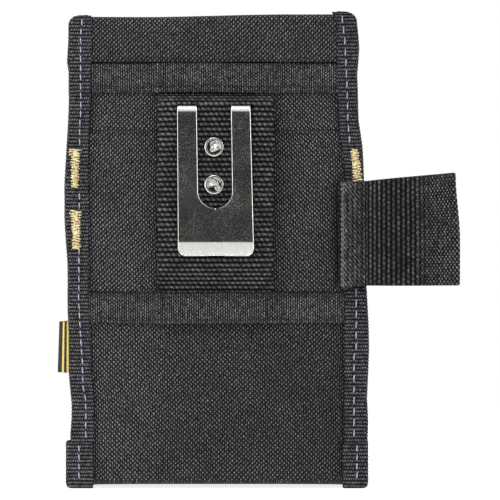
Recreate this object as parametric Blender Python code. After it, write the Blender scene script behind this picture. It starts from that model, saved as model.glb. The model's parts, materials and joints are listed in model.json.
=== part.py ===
"""Electrician's tool pouch in woven nylon, with a belt tunnel, a spring steel clip and a side loop.

It stands upright on its flat base, with the belt side facing -Y and the pockets facing +Y.
Sizes are in millimetres here, and each mesh is turned into metres when it is made.
"""

import math

import bmesh
import bpy
from mathutils import Vector

MM = 0.001

# The bound outline: half widths of the pouch at a few heights
LEFT_EDGE = ((0, 67.6), (72, 68.3), (137, 69.2), (178, 68.0), (217, 68.2))
RIGHT_EDGE = ((0, 68.4), (72, 69.0), (120, 67.8), (160, 65.6), (217, 63.4))
TOP = 217.0
GAP = 0.3

# Layers of the back, from the belt side inwards
BACK_FACE = -15.0
PANEL_THICK = 1.0
STIFFENER_THICK = 1.0
LINING_THICK = 0.7
POCKET_THICK = 1.1
SEAM_INSET = 2.4
STACK_TOP = TOP - 2.9
HEM_THICK = 1.0
HEM_LOW = 195.0

# Folded tapes round the edges
BINDING_THICK = 0.9
BINDING_LEG = 10.8
BINDING_INNER_LEG = 5.8
BINDING_TOP = TOP + 0.8
BINDING_CORNER = 4.0
BINDING_BEND = 2.2
CORNER_BINDING_TOP = 20.8
CORNER_BINDING_LEG = 13.0
CORNER_BINDING_GROWTH = 1.3

# Flat tapes across the back, and the belt webbing that runs under both
TAPE_THICK = 0.8
UPPER_TAPE = (180.8, 194.5)
LOWER_TAPE = (75.5, 89.3)
WEBBING_THICK = 1.9
BELT_WEBBING_X = (-26.5, 24.3)
BELT_WEBBING_Z = (77.2, 193.2)
TUNNEL_DEPTH = 5.6
TUNNEL_RISE = 5.4
TUNNEL_FALL = 15.0

# Spring clip
CLIP_THICK = 0.8
CLIP_X = (-18.8, 16.2)
CLIP_TOP = 174.8
CLIP_LOW = 106.2
CLIP_STANDOFF = 1.9
CLIP_BACK_LOW = 128.0
LIP_HEIGHT = 6.4
LIP_FLARE = 2.6
LIP_CHAMFER = 3.4
SLOT_X = (-9.4, 6.2)
SLOT_LOW = 127.7
RIVET_X = -1.7
RIVET_Z = (155.6, 138.5)
RIVET_HEAD_R = 4.4
RIVET_SHANK_R = 1.5
RIVET_HEAD_HIGH = 1.8

# Side loop
LOOP_Z = (93.6, 141.2)
LOOP_TAIL = 55.0
LOOP_HINGE_X = 67.8
LOOP_HINGE_GAP = 1.0
LOOP_ANCHOR_GAP = 1.3
LOOP_TIP = 110.6
LOOP_OFF = 17.3

# Pockets
BASE_THICK = 2.0
BASE_BACK = -14.8
BASE_FRONT = 13.6
POCKET_LOW = BASE_THICK + GAP
MAIN_MOUTH = 155.0
FRONT_MOUTH = 127.0
MAIN_WALL = 9.4
FRONT_WALL = 6.95
MAIN_FRONT_BASE = 8.4
MAIN_FRONT_MOUTH = 5.6
POCKET_SPACING = 2.45
POCKET_BULGE = 7.2
POCKET_CORNER = 9.0
DIVIDER_X = 19.5
MOUTH_TAPE_THICK = 0.7
MOUTH_TAPE_HIGH = 10.5

# Small trim
BARTACK_SIZE = (4.4, 17.0)
BARTACK_THICK = 0.6
UPPER_BARTACK_Z = 146.5
LOWER_BARTACK_Z = 118.3
LABEL_Z = (52.6, 76.4)
LABEL_REACH = 5.2


def clear_scene():
    for thing in list(bpy.data.objects):
        bpy.data.objects.remove(thing)


def material(name, colour, roughness, metallic=0.0):
    made = bpy.data.materials.new(name)
    made.use_nodes = True
    shader = made.node_tree.nodes["Principled BSDF"]
    shader.inputs["Base Color"].default_value = (*colour, 1)
    shader.inputs["Roughness"].default_value = roughness
    shader.inputs["Metallic"].default_value = metallic
    made.diffuse_color = (*colour, 1)
    return made


def fabric(name):
    return material(name, (0.035, 0.036, 0.039), 0.85)


def webbing(name):
    return material(name, (0.022, 0.023, 0.025), 0.8)


def steel(name):
    return material(name, (0.62, 0.61, 0.58), 0.22, 1.0)


def thread(name):
    return material(name, (0.72, 0.48, 0.12), 0.6)


def finish(name, bm, look, origin=(0, 0, 0)):
    """Makes an object of the mesh, its own origin at the given point."""
    bmesh.ops.remove_doubles(bm, verts=bm.verts, dist=1e-5)
    bmesh.ops.recalc_face_normals(bm, faces=bm.faces)
    start = Vector(origin)
    for vertex in bm.verts:
        vertex.co = (vertex.co - start) * MM
    mesh = bpy.data.meshes.new(name)
    bm.to_mesh(mesh)
    bm.free()
    mesh.shade_smooth()
    mesh.set_sharp_from_angle(angle=math.radians(35))
    mesh.materials.append(look)
    made = bpy.data.objects.new(name, mesh)
    made.location = start * MM
    bpy.context.scene.collection.objects.link(made)
    return made


def loft(name, rings, look, origin=(0, 0, 0)):
    """A solid through closed rings of points that match one for one, with its two ends filled."""
    bm = bmesh.new()
    rows = [[bm.verts.new(point) for point in ring] for ring in rings]
    for low, high in zip(rows, rows[1:]):
        for i in range(len(low)):
            bm.faces.new((low[i - 1], low[i], high[i], high[i - 1]))
    bm.faces.new(reversed(rows[0]))
    bm.faces.new(rows[-1])
    return finish(name, bm, look, origin)


def cut(target, cutter):
    """Takes the cutter's shape out of the target."""
    cutter.hide_render = True
    cutter.display_type = "WIRE"
    modifier = target.modifiers.new("cut", "BOOLEAN")
    modifier.operation = "DIFFERENCE"
    modifier.object = cutter


def box(name, low, high, look):
    """A plain box between two corners."""
    ring = ((low[0], low[1]), (high[0], low[1]), (high[0], high[1]), (low[0], high[1]))
    return loft(name, [[(x, y, z) for x, y in ring] for z in (low[2], high[2])], look)


def disc(centre, radius, y, sides=16):
    """A ring of points round an axis along Y."""
    turns = [2 * math.pi * i / sides for i in range(sides)]
    return [
        (centre[0] + radius * math.cos(a), y, centre[1] + radius * math.sin(a)) for a in turns
    ]


def arc(centre, radius, start, end, steps):
    """Points on an arc, with its angles in degrees."""
    angles = [math.radians(start + (end - start) * i / steps) for i in range(steps + 1)]
    return [(centre[0] + radius * math.cos(a), centre[1] + radius * math.sin(a)) for a in angles]


def offset(path, distance):
    """An open path moved to its own left, with its corners mitred."""
    points = [Vector(point) for point in path]
    sides = []
    for start, end in zip(points, points[1:]):
        along = (end - start).normalized()
        sides.append(Vector((-along.y, along.x)))
    moved = []
    for i, point in enumerate(points):
        before = sides[max(i - 1, 0)]
        after = sides[min(i, len(sides) - 1)]
        middle = (before + after).normalized()
        moved.append(tuple(point + middle * (distance / max(middle.dot(after), 0.5))))
    return moved


def strip(path, thick):
    """The closed outline of a sheet of this thickness laid along the path, on both sides of it."""
    return offset(path, thick / 2) + offset(path, -thick / 2)[::-1]


def interpolate(height, table):
    for (low, first), (high, second) in zip(table, table[1:]):
        if height <= high:
            return first + (second - first) * (height - low) / (high - low)
    return table[-1][1]


def edge(side, height):
    """Distance from the middle to the bound edge: side is -1 on the left and +1 on the right."""
    return interpolate(height, LEFT_EDGE if side < 0 else RIGHT_EDGE)


def smooth(share):
    share = min(max(share, 0.0), 1.0)
    return share * share * (3 - 2 * share)


# ---- the flat back ----------------------------------------------------------------------


def back_outline(inset, low, high):
    """The outline of a back layer: it follows both edges, and its top corners are cut round."""
    corner = BINDING_CORNER
    heights = [low, 72, 137, 178, high - corner]
    right = [(edge(1, z) - inset, z) for z in heights]
    left = [(inset - edge(-1, z), z) for z in heights]
    right += [(right[-1][0] - corner * 0.3, high - corner * 0.3), (right[-1][0] - corner, high)]
    left += [(left[-1][0] + corner * 0.3, high - corner * 0.3), (left[-1][0] + corner, high)]
    return right + left[::-1]


def back_layer(name, inset, low, high, face, thick, look):
    outline = back_outline(inset, low, high)
    rings = [[(x, y, z) for x, z in outline] for y in (face, face + thick)]
    loft(name, rings, look)
    return face + thick + GAP


def make_back():
    low = BASE_THICK + GAP
    face = back_layer(
        "back_panel", SEAM_INSET, low, STACK_TOP, BACK_FACE, PANEL_THICK, fabric("back_panel")
    )
    face = back_layer(
        "back_stiffener",
        SEAM_INSET,
        low,
        STACK_TOP,
        face,
        STIFFENER_THICK,
        material("back_stiffener", (0.05, 0.05, 0.05), 0.7),
    )
    return back_layer(
        "back_lining", SEAM_INSET, low, STACK_TOP, face, LINING_THICK, fabric("back_lining")
    )


def make_hem(lining_face):
    """The band folded over the top edge, between the two edge bindings."""
    outer = BACK_FACE - GAP - HEM_THICK / 2
    inner = lining_face + HEM_THICK / 2
    radius = (inner - outer) / 2
    middle = (inner + outer) / 2
    rise = TOP - HEM_THICK / 2 - 2.6
    path = [(outer, HEM_LOW)]
    path += [(middle - radius * math.cos(t), rise + 2.6 * math.sin(t)) for t in
             [math.pi * i / 10 for i in range(11)]]
    path += [(inner, HEM_LOW)]
    section = strip(path, HEM_THICK)
    rings = []
    for side in (-1, 1):
        reach = min(edge(side, HEM_LOW), edge(side, TOP)) - BINDING_LEG - GAP
        rings.append([(side * reach, y, z) for y, z in section])
    loft("top_hem", rings, fabric("top_hem"))


def tape_path(low, high, lift):
    """A tape's plan across the back: it steps up over the belt webbing by the webbing's thickness."""
    start = -min(edge(-1, low), edge(-1, high)) + BINDING_LEG + GAP
    end = min(edge(1, low), edge(1, high)) - BINDING_LEG - GAP
    flat = BACK_FACE - GAP - TAPE_THICK / 2
    step = flat - lift
    webbing_left, webbing_right = BELT_WEBBING_X
    return [
        (start, flat),
        (webbing_left - 3.6, flat),
        (webbing_left - 0.6, step),
        (webbing_right + 0.6, step),
        (webbing_right + 3.6, flat),
        (end, flat),
    ]


def make_tapes():
    for name, (low, high) in (("upper_cross_tape", UPPER_TAPE), ("lower_cross_tape", LOWER_TAPE)):
        section = strip(tape_path(low, high, WEBBING_THICK + GAP), TAPE_THICK)
        loft(name, [[(x, y, z) for x, y in section] for z in (low, high)], webbing(name))


# ---- belt webbing and clip --------------------------------------------------------------


def webbing_path():
    """The belt webbing from its lower end upwards: it stands off the back to let a belt through."""
    near = BACK_FACE - GAP - WEBBING_THICK / 2
    far = BACK_FACE - TUNNEL_DEPTH - WEBBING_THICK / 2
    foot = LOWER_TAPE[1] + 1.0
    head = UPPER_TAPE[0] - 0.4
    path = [(near, BELT_WEBBING_Z[0])]
    for i in range(9):
        path.append((near + (far - near) * smooth(i / 8), foot + TUNNEL_FALL * i / 8))
    path.append((far, (foot + head) / 2))
    for i in range(7):
        path.append((far + (near - far) * smooth(i / 6), head - TUNNEL_RISE * (1 - i / 6)))
    path.append((near, BELT_WEBBING_Z[1]))
    return path


def make_belt_webbing():
    section = strip(webbing_path(), WEBBING_THICK)
    made = loft(
        "belt_webbing", [[(x, y, z) for y, z in section] for x in BELT_WEBBING_X], webbing("belt_webbing")
    )
    outer = BACK_FACE - TUNNEL_DEPTH - WEBBING_THICK
    look = material("cutters", (1, 0, 0), 1)
    for name, sides in (("left", (CLIP_X[0], SLOT_X[0])), ("right", (SLOT_X[1], CLIP_X[1]))):
        low = (sides[0] - GAP, outer - 1, CLIP_TOP - 2.1)
        high = (sides[1] + GAP, outer + WEBBING_THICK + 1, CLIP_TOP + GAP)
        cut(made, box(f"slit_{name}_cutter", low, high, look))
    for place, height in zip(("upper", "lower"), RIVET_Z):
        rings = [disc((RIVET_X, height), RIVET_SHANK_R + GAP, y) for y in (outer - 1, BACK_FACE - 2)]
        hole = loft(f"rivet_hole_{place}_cutter", rings, look)
        cut(made, hole)
    return made


def clip_lines():
    """Middle planes of the front and rear leaves, the bend's radius and the height of its centre."""
    webbing_inner = BACK_FACE - TUNNEL_DEPTH
    rear = webbing_inner + GAP + CLIP_THICK / 2
    front = webbing_inner - WEBBING_THICK - CLIP_STANDOFF - CLIP_THICK / 2
    radius = (rear - front) / 2
    return front, rear, radius, CLIP_TOP - radius - CLIP_THICK / 2


def make_clip():
    """A rear leaf behind the webbing, and a front leaf that springs from the bends at the top."""
    front, rear, radius, bend_z = clip_lines()
    middle = (front + rear) / 2
    split_y = BACK_FACE - TUNNEL_DEPTH - WEBBING_THICK - GAP
    turn = math.degrees(math.acos((split_y - middle) / radius))
    split_share = 0.15 / radius * 180 / math.pi

    rear_path = [(rear, CLIP_BACK_LOW)] + arc((middle, bend_z), radius, 0, turn - split_share, 7)
    section = strip(rear_path, CLIP_THICK)
    base = loft("clip_base", [[(x, y, z) for y, z in section] for x in CLIP_X], steel("clip_base"))

    lip_z = CLIP_LOW + LIP_HEIGHT
    lip = [
        (front - LIP_FLARE, CLIP_LOW),
        (front - LIP_FLARE * 0.62, CLIP_LOW + LIP_HEIGHT * 0.4),
        (front - LIP_FLARE * 0.22, CLIP_LOW + LIP_HEIGHT * 0.8),
        (front, lip_z + 1.2),
    ]
    front_path = lip + arc((middle, bend_z), radius, 180, turn + split_share, 5)
    section = strip(front_path, CLIP_THICK)
    hinge = (0, split_y, CLIP_TOP)
    arm = loft(
        "clip_arm", [[(x, y, z) for y, z in section] for x in CLIP_X], steel("clip_arm"), hinge
    )

    look = material("slot_cutter", (1, 0, 0), 1)
    slot_r = (SLOT_X[1] - SLOT_X[0]) / 2
    slot_x = (SLOT_X[0] + SLOT_X[1]) / 2
    outline = arc((slot_x, SLOT_LOW + slot_r), slot_r, 180, 360, 12)
    outline += [(SLOT_X[1], CLIP_TOP + 2), (SLOT_X[0], CLIP_TOP + 2)]
    rings = [[(x, y, z) for x, z in outline] for y in (front - 6, split_y + 0.5)]
    cut(arm, loft("front_slot_cutter", rings, look))
    for name, corner, inward in (("left", CLIP_X[0], 1), ("right", CLIP_X[1], -1)):
        triangle = (
            (corner - inward, CLIP_LOW - 1),
            (corner + inward * LIP_CHAMFER, CLIP_LOW - 1),
            (corner + inward * LIP_CHAMFER * 0.62, CLIP_LOW + LIP_CHAMFER * 0.12),
            (corner + inward * LIP_CHAMFER * 0.12, CLIP_LOW + LIP_CHAMFER * 0.62),
            (corner - inward, CLIP_LOW + LIP_CHAMFER),
        )
        rings = [[(x, y, z) for x, z in triangle] for y in (front - 8, front + 3)]
        cut(arm, loft(f"lip_{name}_cutter", rings, look))

    low = (SLOT_X[0], rear - 4, RIVET_Z[0] + 8)
    high = (SLOT_X[1], rear + 2, CLIP_TOP + 2)
    cut(base, box("rear_slot_cutter", (low[0], split_y - 1, low[2]), high, look))
    for place, height in zip(("upper", "lower"), RIVET_Z):
        rings = [disc((RIVET_X, height), RIVET_SHANK_R + GAP, y) for y in (rear - 2, rear + 2)]
        cut(base, loft(f"leaf_hole_{place}_cutter", rings, look))
        make_rivet(f"clip_rivet_{place}", height)


def make_rivet(name, height):
    """A domed head on the webbing, and a shank that ends flush with the rear leaf."""
    face = BACK_FACE - TUNNEL_DEPTH - WEBBING_THICK - GAP
    end = BACK_FACE - TUNNEL_DEPTH + GAP + CLIP_THICK
    profile = [(RIVET_SHANK_R, end), (RIVET_SHANK_R, face), (RIVET_HEAD_R, face)]
    for angle in (25, 50, 72):
        turn = math.radians(angle)
        high = 0.3 + (RIVET_HEAD_HIGH - 0.3) * math.sin(turn)
        profile.append((RIVET_HEAD_R * math.cos(turn) ** 0.7, face - high))
    rings = [disc((RIVET_X, height), radius, y) for radius, y in profile]
    loft(name, rings, steel(name))


# ---- edge bindings ----------------------------------------------------------------------


def binding_section(side, reach, leg, grown, inner_face):
    """A tape folded round the seam, seen from above: long leg on the belt side, short one inside."""
    outer = BACK_FACE - GAP - BINDING_THICK / 2 - grown
    inner = inner_face + BINDING_THICK / 2 + grown
    bend = BINDING_BEND - BINDING_THICK / 2
    middle = reach - BINDING_THICK / 2
    path = [(middle - bend - leg + BINDING_BEND, outer)]
    path += arc((middle - bend, outer + bend), bend, -90, 0, 4)
    path += arc((middle - bend, inner - bend), bend, 0, 90, 4)
    path += [(reach - BINDING_INNER_LEG, inner)]
    return [(side * x, y) for x, y in strip(path, BINDING_THICK)]


def corner_pull(height):
    """How far the rounded top corner draws the edge in at this height."""
    over = height - (BINDING_TOP - BINDING_CORNER)
    if over <= 0:
        return 0.0
    return BINDING_CORNER - math.sqrt(max(BINDING_CORNER**2 - over**2, 0))


def make_bindings(inner_face):
    for name, side in (("left", -1), ("right", 1)):
        rings = []
        heights = [CORNER_BINDING_TOP + GAP, 45, 72, 100, 137, 160, 178, 195]
        heights += [BINDING_TOP - BINDING_CORNER * share for share in (1.0, 0.6, 0.3, 0.1)]
        for z in heights:
            pull = corner_pull(z)
            ring = binding_section(side, edge(side, z) - pull, BINDING_LEG - pull, 0, inner_face)
            rings.append([(x, y, z) for x, y in ring])
        loft(f"{name}_binding", rings, webbing(f"{name}_binding"))
        rings = []
        for z in (0, CORNER_BINDING_TOP):
            reach = edge(side, z) + CORNER_BINDING_GROWTH
            ring = binding_section(side, reach, CORNER_BINDING_LEG, 0.5, inner_face)
            rings.append([(x, y, z) for x, y in ring])
        loft(f"{name}_corner_binding", rings, webbing(f"{name}_corner_binding"))


# ---- side loop --------------------------------------------------------------------------


def make_side_loop():
    """A flattened ring of webbing sewn down by its near end, so that its far end swings about the seam."""
    inner = -LOOP_OFF - WEBBING_THICK / 2
    outer = inner - WEBBING_THICK - GAP
    middle = (inner + outer) / 2
    fold = (inner - outer) / 2
    end = LOOP_HINGE_X - LOOP_ANCHOR_GAP
    path = [(end, inner)]
    path += arc((LOOP_TAIL + WEBBING_THICK / 2 + fold, middle), fold, 90, 270, 6)
    path += [(end, outer)]
    section = strip(path, WEBBING_THICK)
    loft(
        "side_loop_anchor", [[(x, y, z) for x, y in section] for z in LOOP_Z], webbing("side_loop_anchor")
    )

    start = LOOP_HINGE_X + LOOP_HINGE_GAP
    tip_r = 1.9
    reach = LOOP_TIP - WEBBING_THICK / 2 - tip_r
    path = []
    for i in range(9):
        share = i / 8
        swell = math.sin(math.pi * share**0.62) ** 1.3
        y = outer + (middle - tip_r - outer) * share - 6.2 * swell
        path.append((start + (reach - start) * share, y))
    path += arc((reach, middle), tip_r, -75, 75, 6)
    for i in range(9):
        share = 1 - i / 8
        swell = math.sin(math.pi * share**0.62) ** 1.3
        y = inner + (middle + tip_r - inner) * share + 1.0 * swell
        path.append((start + (reach - start) * share, y))
    section = strip(path, WEBBING_THICK)
    hinge = (LOOP_HINGE_X, middle, (LOOP_Z[0] + LOOP_Z[1]) / 2)
    loft("side_loop", [[(x, y, z) for x, y in section] for z in LOOP_Z], webbing("side_loop"), hinge)


# ---- pockets ----------------------------------------------------------------------------


def main_front(height):
    return MAIN_FRONT_BASE + (MAIN_FRONT_MOUTH - MAIN_FRONT_BASE) * height / MAIN_MOUTH


def wrap_half(side, height, wall, flange, front, corner):
    """Half of a pocket's plan, from its seam on one side of the back to the middle of its front."""
    far = edge(side, height)
    wall_x = far - wall
    path = [(far - SEAM_INSET, flange)]
    path += arc((wall_x + 1.2, flange + 1.2), 1.2, 270, 180, 3)
    path += [(wall_x, flange + (front - corner - flange) * share) for share in (0.35, 0.7)]
    path += arc((wall_x - corner, front - corner), corner, 0, 90, 6)
    steps = 14
    near = wall_x - corner
    path += [(near * (1 - i / steps), front) for i in range(1, steps + 1)]
    return [(side * x, y) for x, y in path]


def wrap_path(height, wall, flange, front, corner):
    left = wrap_half(-1, height, wall, flange, front, corner)
    right = wrap_half(1, height, wall, flange, front, corner)
    return left + right[-2::-1]


def bulge(x, height):
    """How far the front pocket stands off the main one: nothing at the stitched dividers."""
    cell_edges = (-56.0, -DIVIDER_X, DIVIDER_X, 56.0)
    for low, high in zip(cell_edges, cell_edges[1:]):
        if low <= x <= high:
            across = math.sin(math.pi * (x - low) / (high - low)) ** 0.8
            foot = 0.25 + 0.75 * smooth(height / 34)
            return POCKET_BULGE * across * foot * (1 - 0.22 * height / FRONT_MOUTH)
    return 0.0


def main_path(height, flange):
    return wrap_path(height, MAIN_WALL, flange, main_front(height), POCKET_CORNER)


def front_path(height, flange):
    front = main_front(height) + POCKET_SPACING
    corner = POCKET_CORNER + POCKET_SPACING
    path = wrap_path(height, FRONT_WALL, flange, front, corner)
    return [(x, y + (bulge(x, height) if y > front - corner * 0.7 else 0)) for x, y in path]


def make_pockets(flange_face):
    """The main pocket and, in front of it, one sewn down in three cells. Both end in the side seams."""
    main_flange = flange_face + POCKET_THICK / 2
    front_flange = main_flange + POCKET_THICK + GAP
    rings = []
    for z in (POCKET_LOW, 40, 80, 120, MAIN_MOUTH):
        rings.append([(x, y, z) for x, y in strip(main_path(z, main_flange), POCKET_THICK)])
    loft("main_pocket", rings, fabric("main_pocket"))
    rings = []
    for z in (POCKET_LOW, 9, 17, 26, 36, 65, 96, FRONT_MOUTH):
        rings.append([(x, y, z) for x, y in strip(front_path(z, front_flange), POCKET_THICK)])
    loft("front_pocket", rings, fabric("front_pocket"))
    make_mouth_tape("main_pocket_tape", MAIN_MOUTH, main_path, main_flange)
    make_mouth_tape("front_pocket_tape", FRONT_MOUTH, front_path, front_flange)
    return front_flange + POCKET_THICK / 2 + GAP


def make_mouth_tape(name, mouth, pocket_path, flange):
    """A tape folded over a pocket's mouth, along its walls and front, leaning as the pocket does."""
    top = pocket_path(mouth, flange)
    free = [i for i, point in enumerate(top) if point[1] > BACK_FACE + 9.6]
    near = POCKET_THICK / 2 + GAP
    far = near + MOUTH_TAPE_THICK
    low = mouth - MOUTH_TAPE_HIGH
    section = (
        (far, low),
        (far, mouth + GAP + MOUTH_TAPE_THICK),
        (-far, mouth + GAP + MOUTH_TAPE_THICK),
        (-far, low),
        (-near, low),
        (-near, mouth + GAP),
        (near, mouth + GAP),
        (near, low),
    )
    lines = []
    for distance, z in section:
        line = offset(pocket_path(z, flange), distance)
        lines.append([(x, y, z) for x, y in line])
    loft(name, [[line[i] for line in lines] for i in free], webbing(name))


def make_base():
    """The bottom panel: flat below, with round front corners under those of the front pocket."""
    corner = POCKET_CORNER + POCKET_SPACING
    right = edge(1, 0) - FRONT_WALL
    left = FRONT_WALL - edge(-1, 0)
    outline = [(left, BASE_BACK), (right, BASE_BACK)]
    outline += arc((right - corner, BASE_FRONT - corner), corner, 0, 90, 8)
    outline += arc((left + corner, BASE_FRONT - corner), corner, 90, 180, 8)
    rings = [[(x, y, z) for x, y in outline] for z in (0, BASE_THICK)]
    loft("bottom_panel", rings, fabric("bottom_panel"))


# ---- small trim -------------------------------------------------------------------------


def make_trim():
    wide, high = BARTACK_SIZE
    face = BACK_FACE - GAP - BINDING_THICK - 0.2
    for name, side in (("left", -1), ("right", 1)):
        for place, centre in (("upper", UPPER_BARTACK_Z), ("lower", LOWER_BARTACK_Z)):
            middle = side * (edge(side, centre) - 1.8 - wide / 2)
            low = (middle - wide / 2, face - BARTACK_THICK, centre - high / 2)
            top = (middle + wide / 2, face, centre + high / 2)
            label = f"bartack_{name}_{place}"
            box(label, low, top, thread(label))
    reach = edge(-1, LABEL_Z[0])
    low = (-reach - LABEL_REACH - GAP, -12.9, LABEL_Z[0])
    top = (-reach - 2 * GAP, -12.0, LABEL_Z[1])
    box("label_tab", low, top, material("label_tab", (0.02, 0.02, 0.02), 0.6))


def make_divider_bartacks():
    """Bars of thread at the mouth of the front pocket, where its dividers are sewn."""
    face = main_front(FRONT_MOUTH) + POCKET_SPACING + POCKET_THICK / 2 + GAP + MOUTH_TAPE_THICK
    for name, x in (("left", -DIVIDER_X), ("right", DIVIDER_X)):
        low = (x - 1.2, face + 1.9, FRONT_MOUTH - 10)
        top = (x + 1.2, face + 2.5, FRONT_MOUTH)
        label = f"divider_bartack_{name}"
        box(label, low, top, thread(label))


clear_scene()
lining_end = make_back()
make_hem(lining_end)
make_tapes()
make_belt_webbing()
make_clip()
binding_face = make_pockets(lining_end)
make_bindings(binding_face)
make_side_loop()
make_base()
make_trim()
make_divider_bartacks()
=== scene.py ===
"""The looks of an electrician's tool pouch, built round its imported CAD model.

Lengths in this script are millimetres until a mesh is made, where MM turns them into metres.
X runs across the pouch, Y from the belt side (negative) to the pockets, and Z up. A side is -1
for the left and 1 for the right, as seen from the belt side.
"""

import json
import math

import bmesh
import bpy
import numpy as np
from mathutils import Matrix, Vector


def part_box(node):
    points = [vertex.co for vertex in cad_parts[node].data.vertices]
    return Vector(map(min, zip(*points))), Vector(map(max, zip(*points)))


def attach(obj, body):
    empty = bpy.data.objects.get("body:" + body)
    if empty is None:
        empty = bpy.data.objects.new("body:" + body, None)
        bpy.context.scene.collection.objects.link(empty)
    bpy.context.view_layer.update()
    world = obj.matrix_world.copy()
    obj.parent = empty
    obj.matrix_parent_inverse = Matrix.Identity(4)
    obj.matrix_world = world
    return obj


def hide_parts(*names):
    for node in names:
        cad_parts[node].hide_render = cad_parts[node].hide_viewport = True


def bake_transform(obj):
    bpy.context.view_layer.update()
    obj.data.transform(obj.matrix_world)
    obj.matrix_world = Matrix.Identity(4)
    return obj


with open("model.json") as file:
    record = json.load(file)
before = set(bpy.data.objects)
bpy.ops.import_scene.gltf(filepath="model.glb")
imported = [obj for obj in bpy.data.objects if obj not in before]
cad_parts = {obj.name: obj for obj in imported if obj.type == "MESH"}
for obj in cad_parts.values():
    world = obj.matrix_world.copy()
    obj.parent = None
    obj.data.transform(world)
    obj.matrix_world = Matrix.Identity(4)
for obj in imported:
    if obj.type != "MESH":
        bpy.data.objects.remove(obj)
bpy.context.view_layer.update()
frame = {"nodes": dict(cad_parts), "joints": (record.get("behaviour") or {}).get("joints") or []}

MM = 0.001
SIDES = {-1: "left", 1: "right"}


# ---- numbers and noise ------------------------------------------------------------------


def smooth(share):
    share = np.clip(share, 0, 1)
    return share * share * (3 - 2 * share)


def between(low, high, share):
    return low + (high - low) * share


def bump(value, centre, width):
    """A bell of height 1 round a centre."""
    return np.exp(-(((value - centre) / width) ** 2))


def fade(distance, reach):
    """1 at no distance, dying away over the reach; 0 on the far side."""
    return np.exp(-np.maximum(distance, 0) / reach) * (distance > -0.6)


def within(value, low, high, rise, fall):
    """1 from a little past low to a little before high, and 0 outside them."""
    return smooth((value - low) / rise) * smooth((high - value) / fall)


def draw_in(distance, tall, deep):
    """How far a rounded corner, this tall and deep, draws in at a distance from its end."""
    share = min(max(distance / tall, 0), 1)
    return deep * (1 - math.sqrt(max(1 - (1 - share) ** 2, 0)))


def ripple(a, b, seed, longest=60.0, shortest=18.0, count=7):
    """Soft waves between about -1 and 1, the same on every run."""
    random = np.random.default_rng(seed)
    total = 0
    for _ in range(count):
        turn = random.uniform(0, math.pi)
        length = random.uniform(shortest, longest)
        phase = random.uniform(0, 2 * math.pi)
        along = (a * math.cos(turn) + b * math.sin(turn)) / length
        total = total + np.sin(2 * math.pi * along + phase)
    return total / math.sqrt(count) / 1.5


def travel(points):
    """How far along an open line each of its points is."""
    steps = np.linalg.norm(np.diff(points, axis=0), axis=1)
    return np.concatenate([[0], np.cumsum(steps)])


def resample(points, count):
    """An open line with this many points, evenly spaced along it."""
    points = np.asarray(points, float)
    along = travel(points)
    wanted = np.linspace(0, along[-1], count)
    return np.stack([np.interp(wanted, along, axis) for axis in points.T], 1)


def arc(centre, radius, start, end, steps):
    angles = np.radians(np.linspace(start, end, steps + 1))
    return [(centre[0] + radius * math.cos(a), centre[1] + radius * math.sin(a)) for a in angles]


def unit(vectors):
    return vectors / np.maximum(np.linalg.norm(vectors, axis=-1, keepdims=True), 1e-9)


def read(pairs, place):
    """The value at a place, from (place, value) pairs."""
    return np.interp(place, *zip(*pairs))


# ---- what the CAD model says, and how the soft edges wander round it --------------------


def node_box(node):
    """Lowest and highest corner of a CAD node, in millimetres."""
    low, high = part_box(node)
    return np.array(low) / MM, np.array(high) / MM


def edge_table(node):
    """How far the bound edge stands from the middle at each height of a binding's rings."""
    table = {}
    for vertex in frame["nodes"][node].data.vertices:
        height = round(vertex.co.z / MM, 1)
        table[height] = max(table.get(height, 0), abs(vertex.co.x) / MM)
    heights = sorted(table)
    return np.array(heights), np.array([table[h] for h in heights])


HEM_LOW, HEM_HIGH = node_box("top_hem")
UPPER_TAPE = node_box("upper_cross_tape")
LOWER_TAPE = node_box("lower_cross_tape")
WEBBING = node_box("belt_webbing")
CLIP = node_box("clip_arm")
CLIP_BASE = node_box("clip_base")
BINDING = node_box("left_binding")
CORNER = node_box("left_corner_binding")
LOOP = node_box("side_loop")
ANCHOR = node_box("side_loop_anchor")
MAIN = node_box("main_pocket")
FRONT = node_box("front_pocket")
BACK_FACE = node_box("back_panel")[0][1]

EDGE = {side: edge_table(f"{name}_binding") for side, name in SIDES.items()}
TOP_CORNER = 4.0
STRAIGHT_TOP = BINDING[1][2] - TOP_CORNER
SEAM_INSET = 2.4
# The tables below are (height, value) pairs. WANDER is how far a soft edge stands out of the
# CAD outline. INNER_EDGE and STITCH_LINE are distances from the middle to the binding's inner
# edge and to its stitching.
WANDER = {
    -1: (
        (0, 0.0), (25, 0.0), (33, -0.7), (38, -0.9), (45, -0.3), (52, 0.3), (68, 0.1), (80, 0.5),
        (104, 0.5), (113, 0.9), (124, 1.4), (140, 1.4), (151, 0.9), (162, 0.7), (173, 0.5),
        (190, 0.4), (195, 1.2), (205, 0.7), (217, 0.5),
    ),
    1: (
        (0, 0.0), (25, 0.3), (30, 0.4), (41, -0.4), (52, 0.0), (63, 0.4), (80, 0.0), (95, -0.4),
        (150, 0.5), (157, 0.5), (162, 0.0), (168, -0.9), (180, -1.3), (189, -1.8), (195, -1.3),
        (201, -0.9), (206, -1.2), (212, -1.8), (217, -2.2),
    ),
}
INNER_EDGE = {
    -1: (
        (0, 57.2), (38, 56.9), (54, 58.1), (68, 58.6), (86, 59.4), (155, 59.5), (178, 58.6),
        (200, 58.1), (217, 58.1),
    ),
    1: (
        (0, 58.1), (145, 58.1), (155, 57.2), (162, 55.8), (173, 55.5), (182, 54.9), (214, 54.5),
        (217.4, 52.4),
    ),
}
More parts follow.
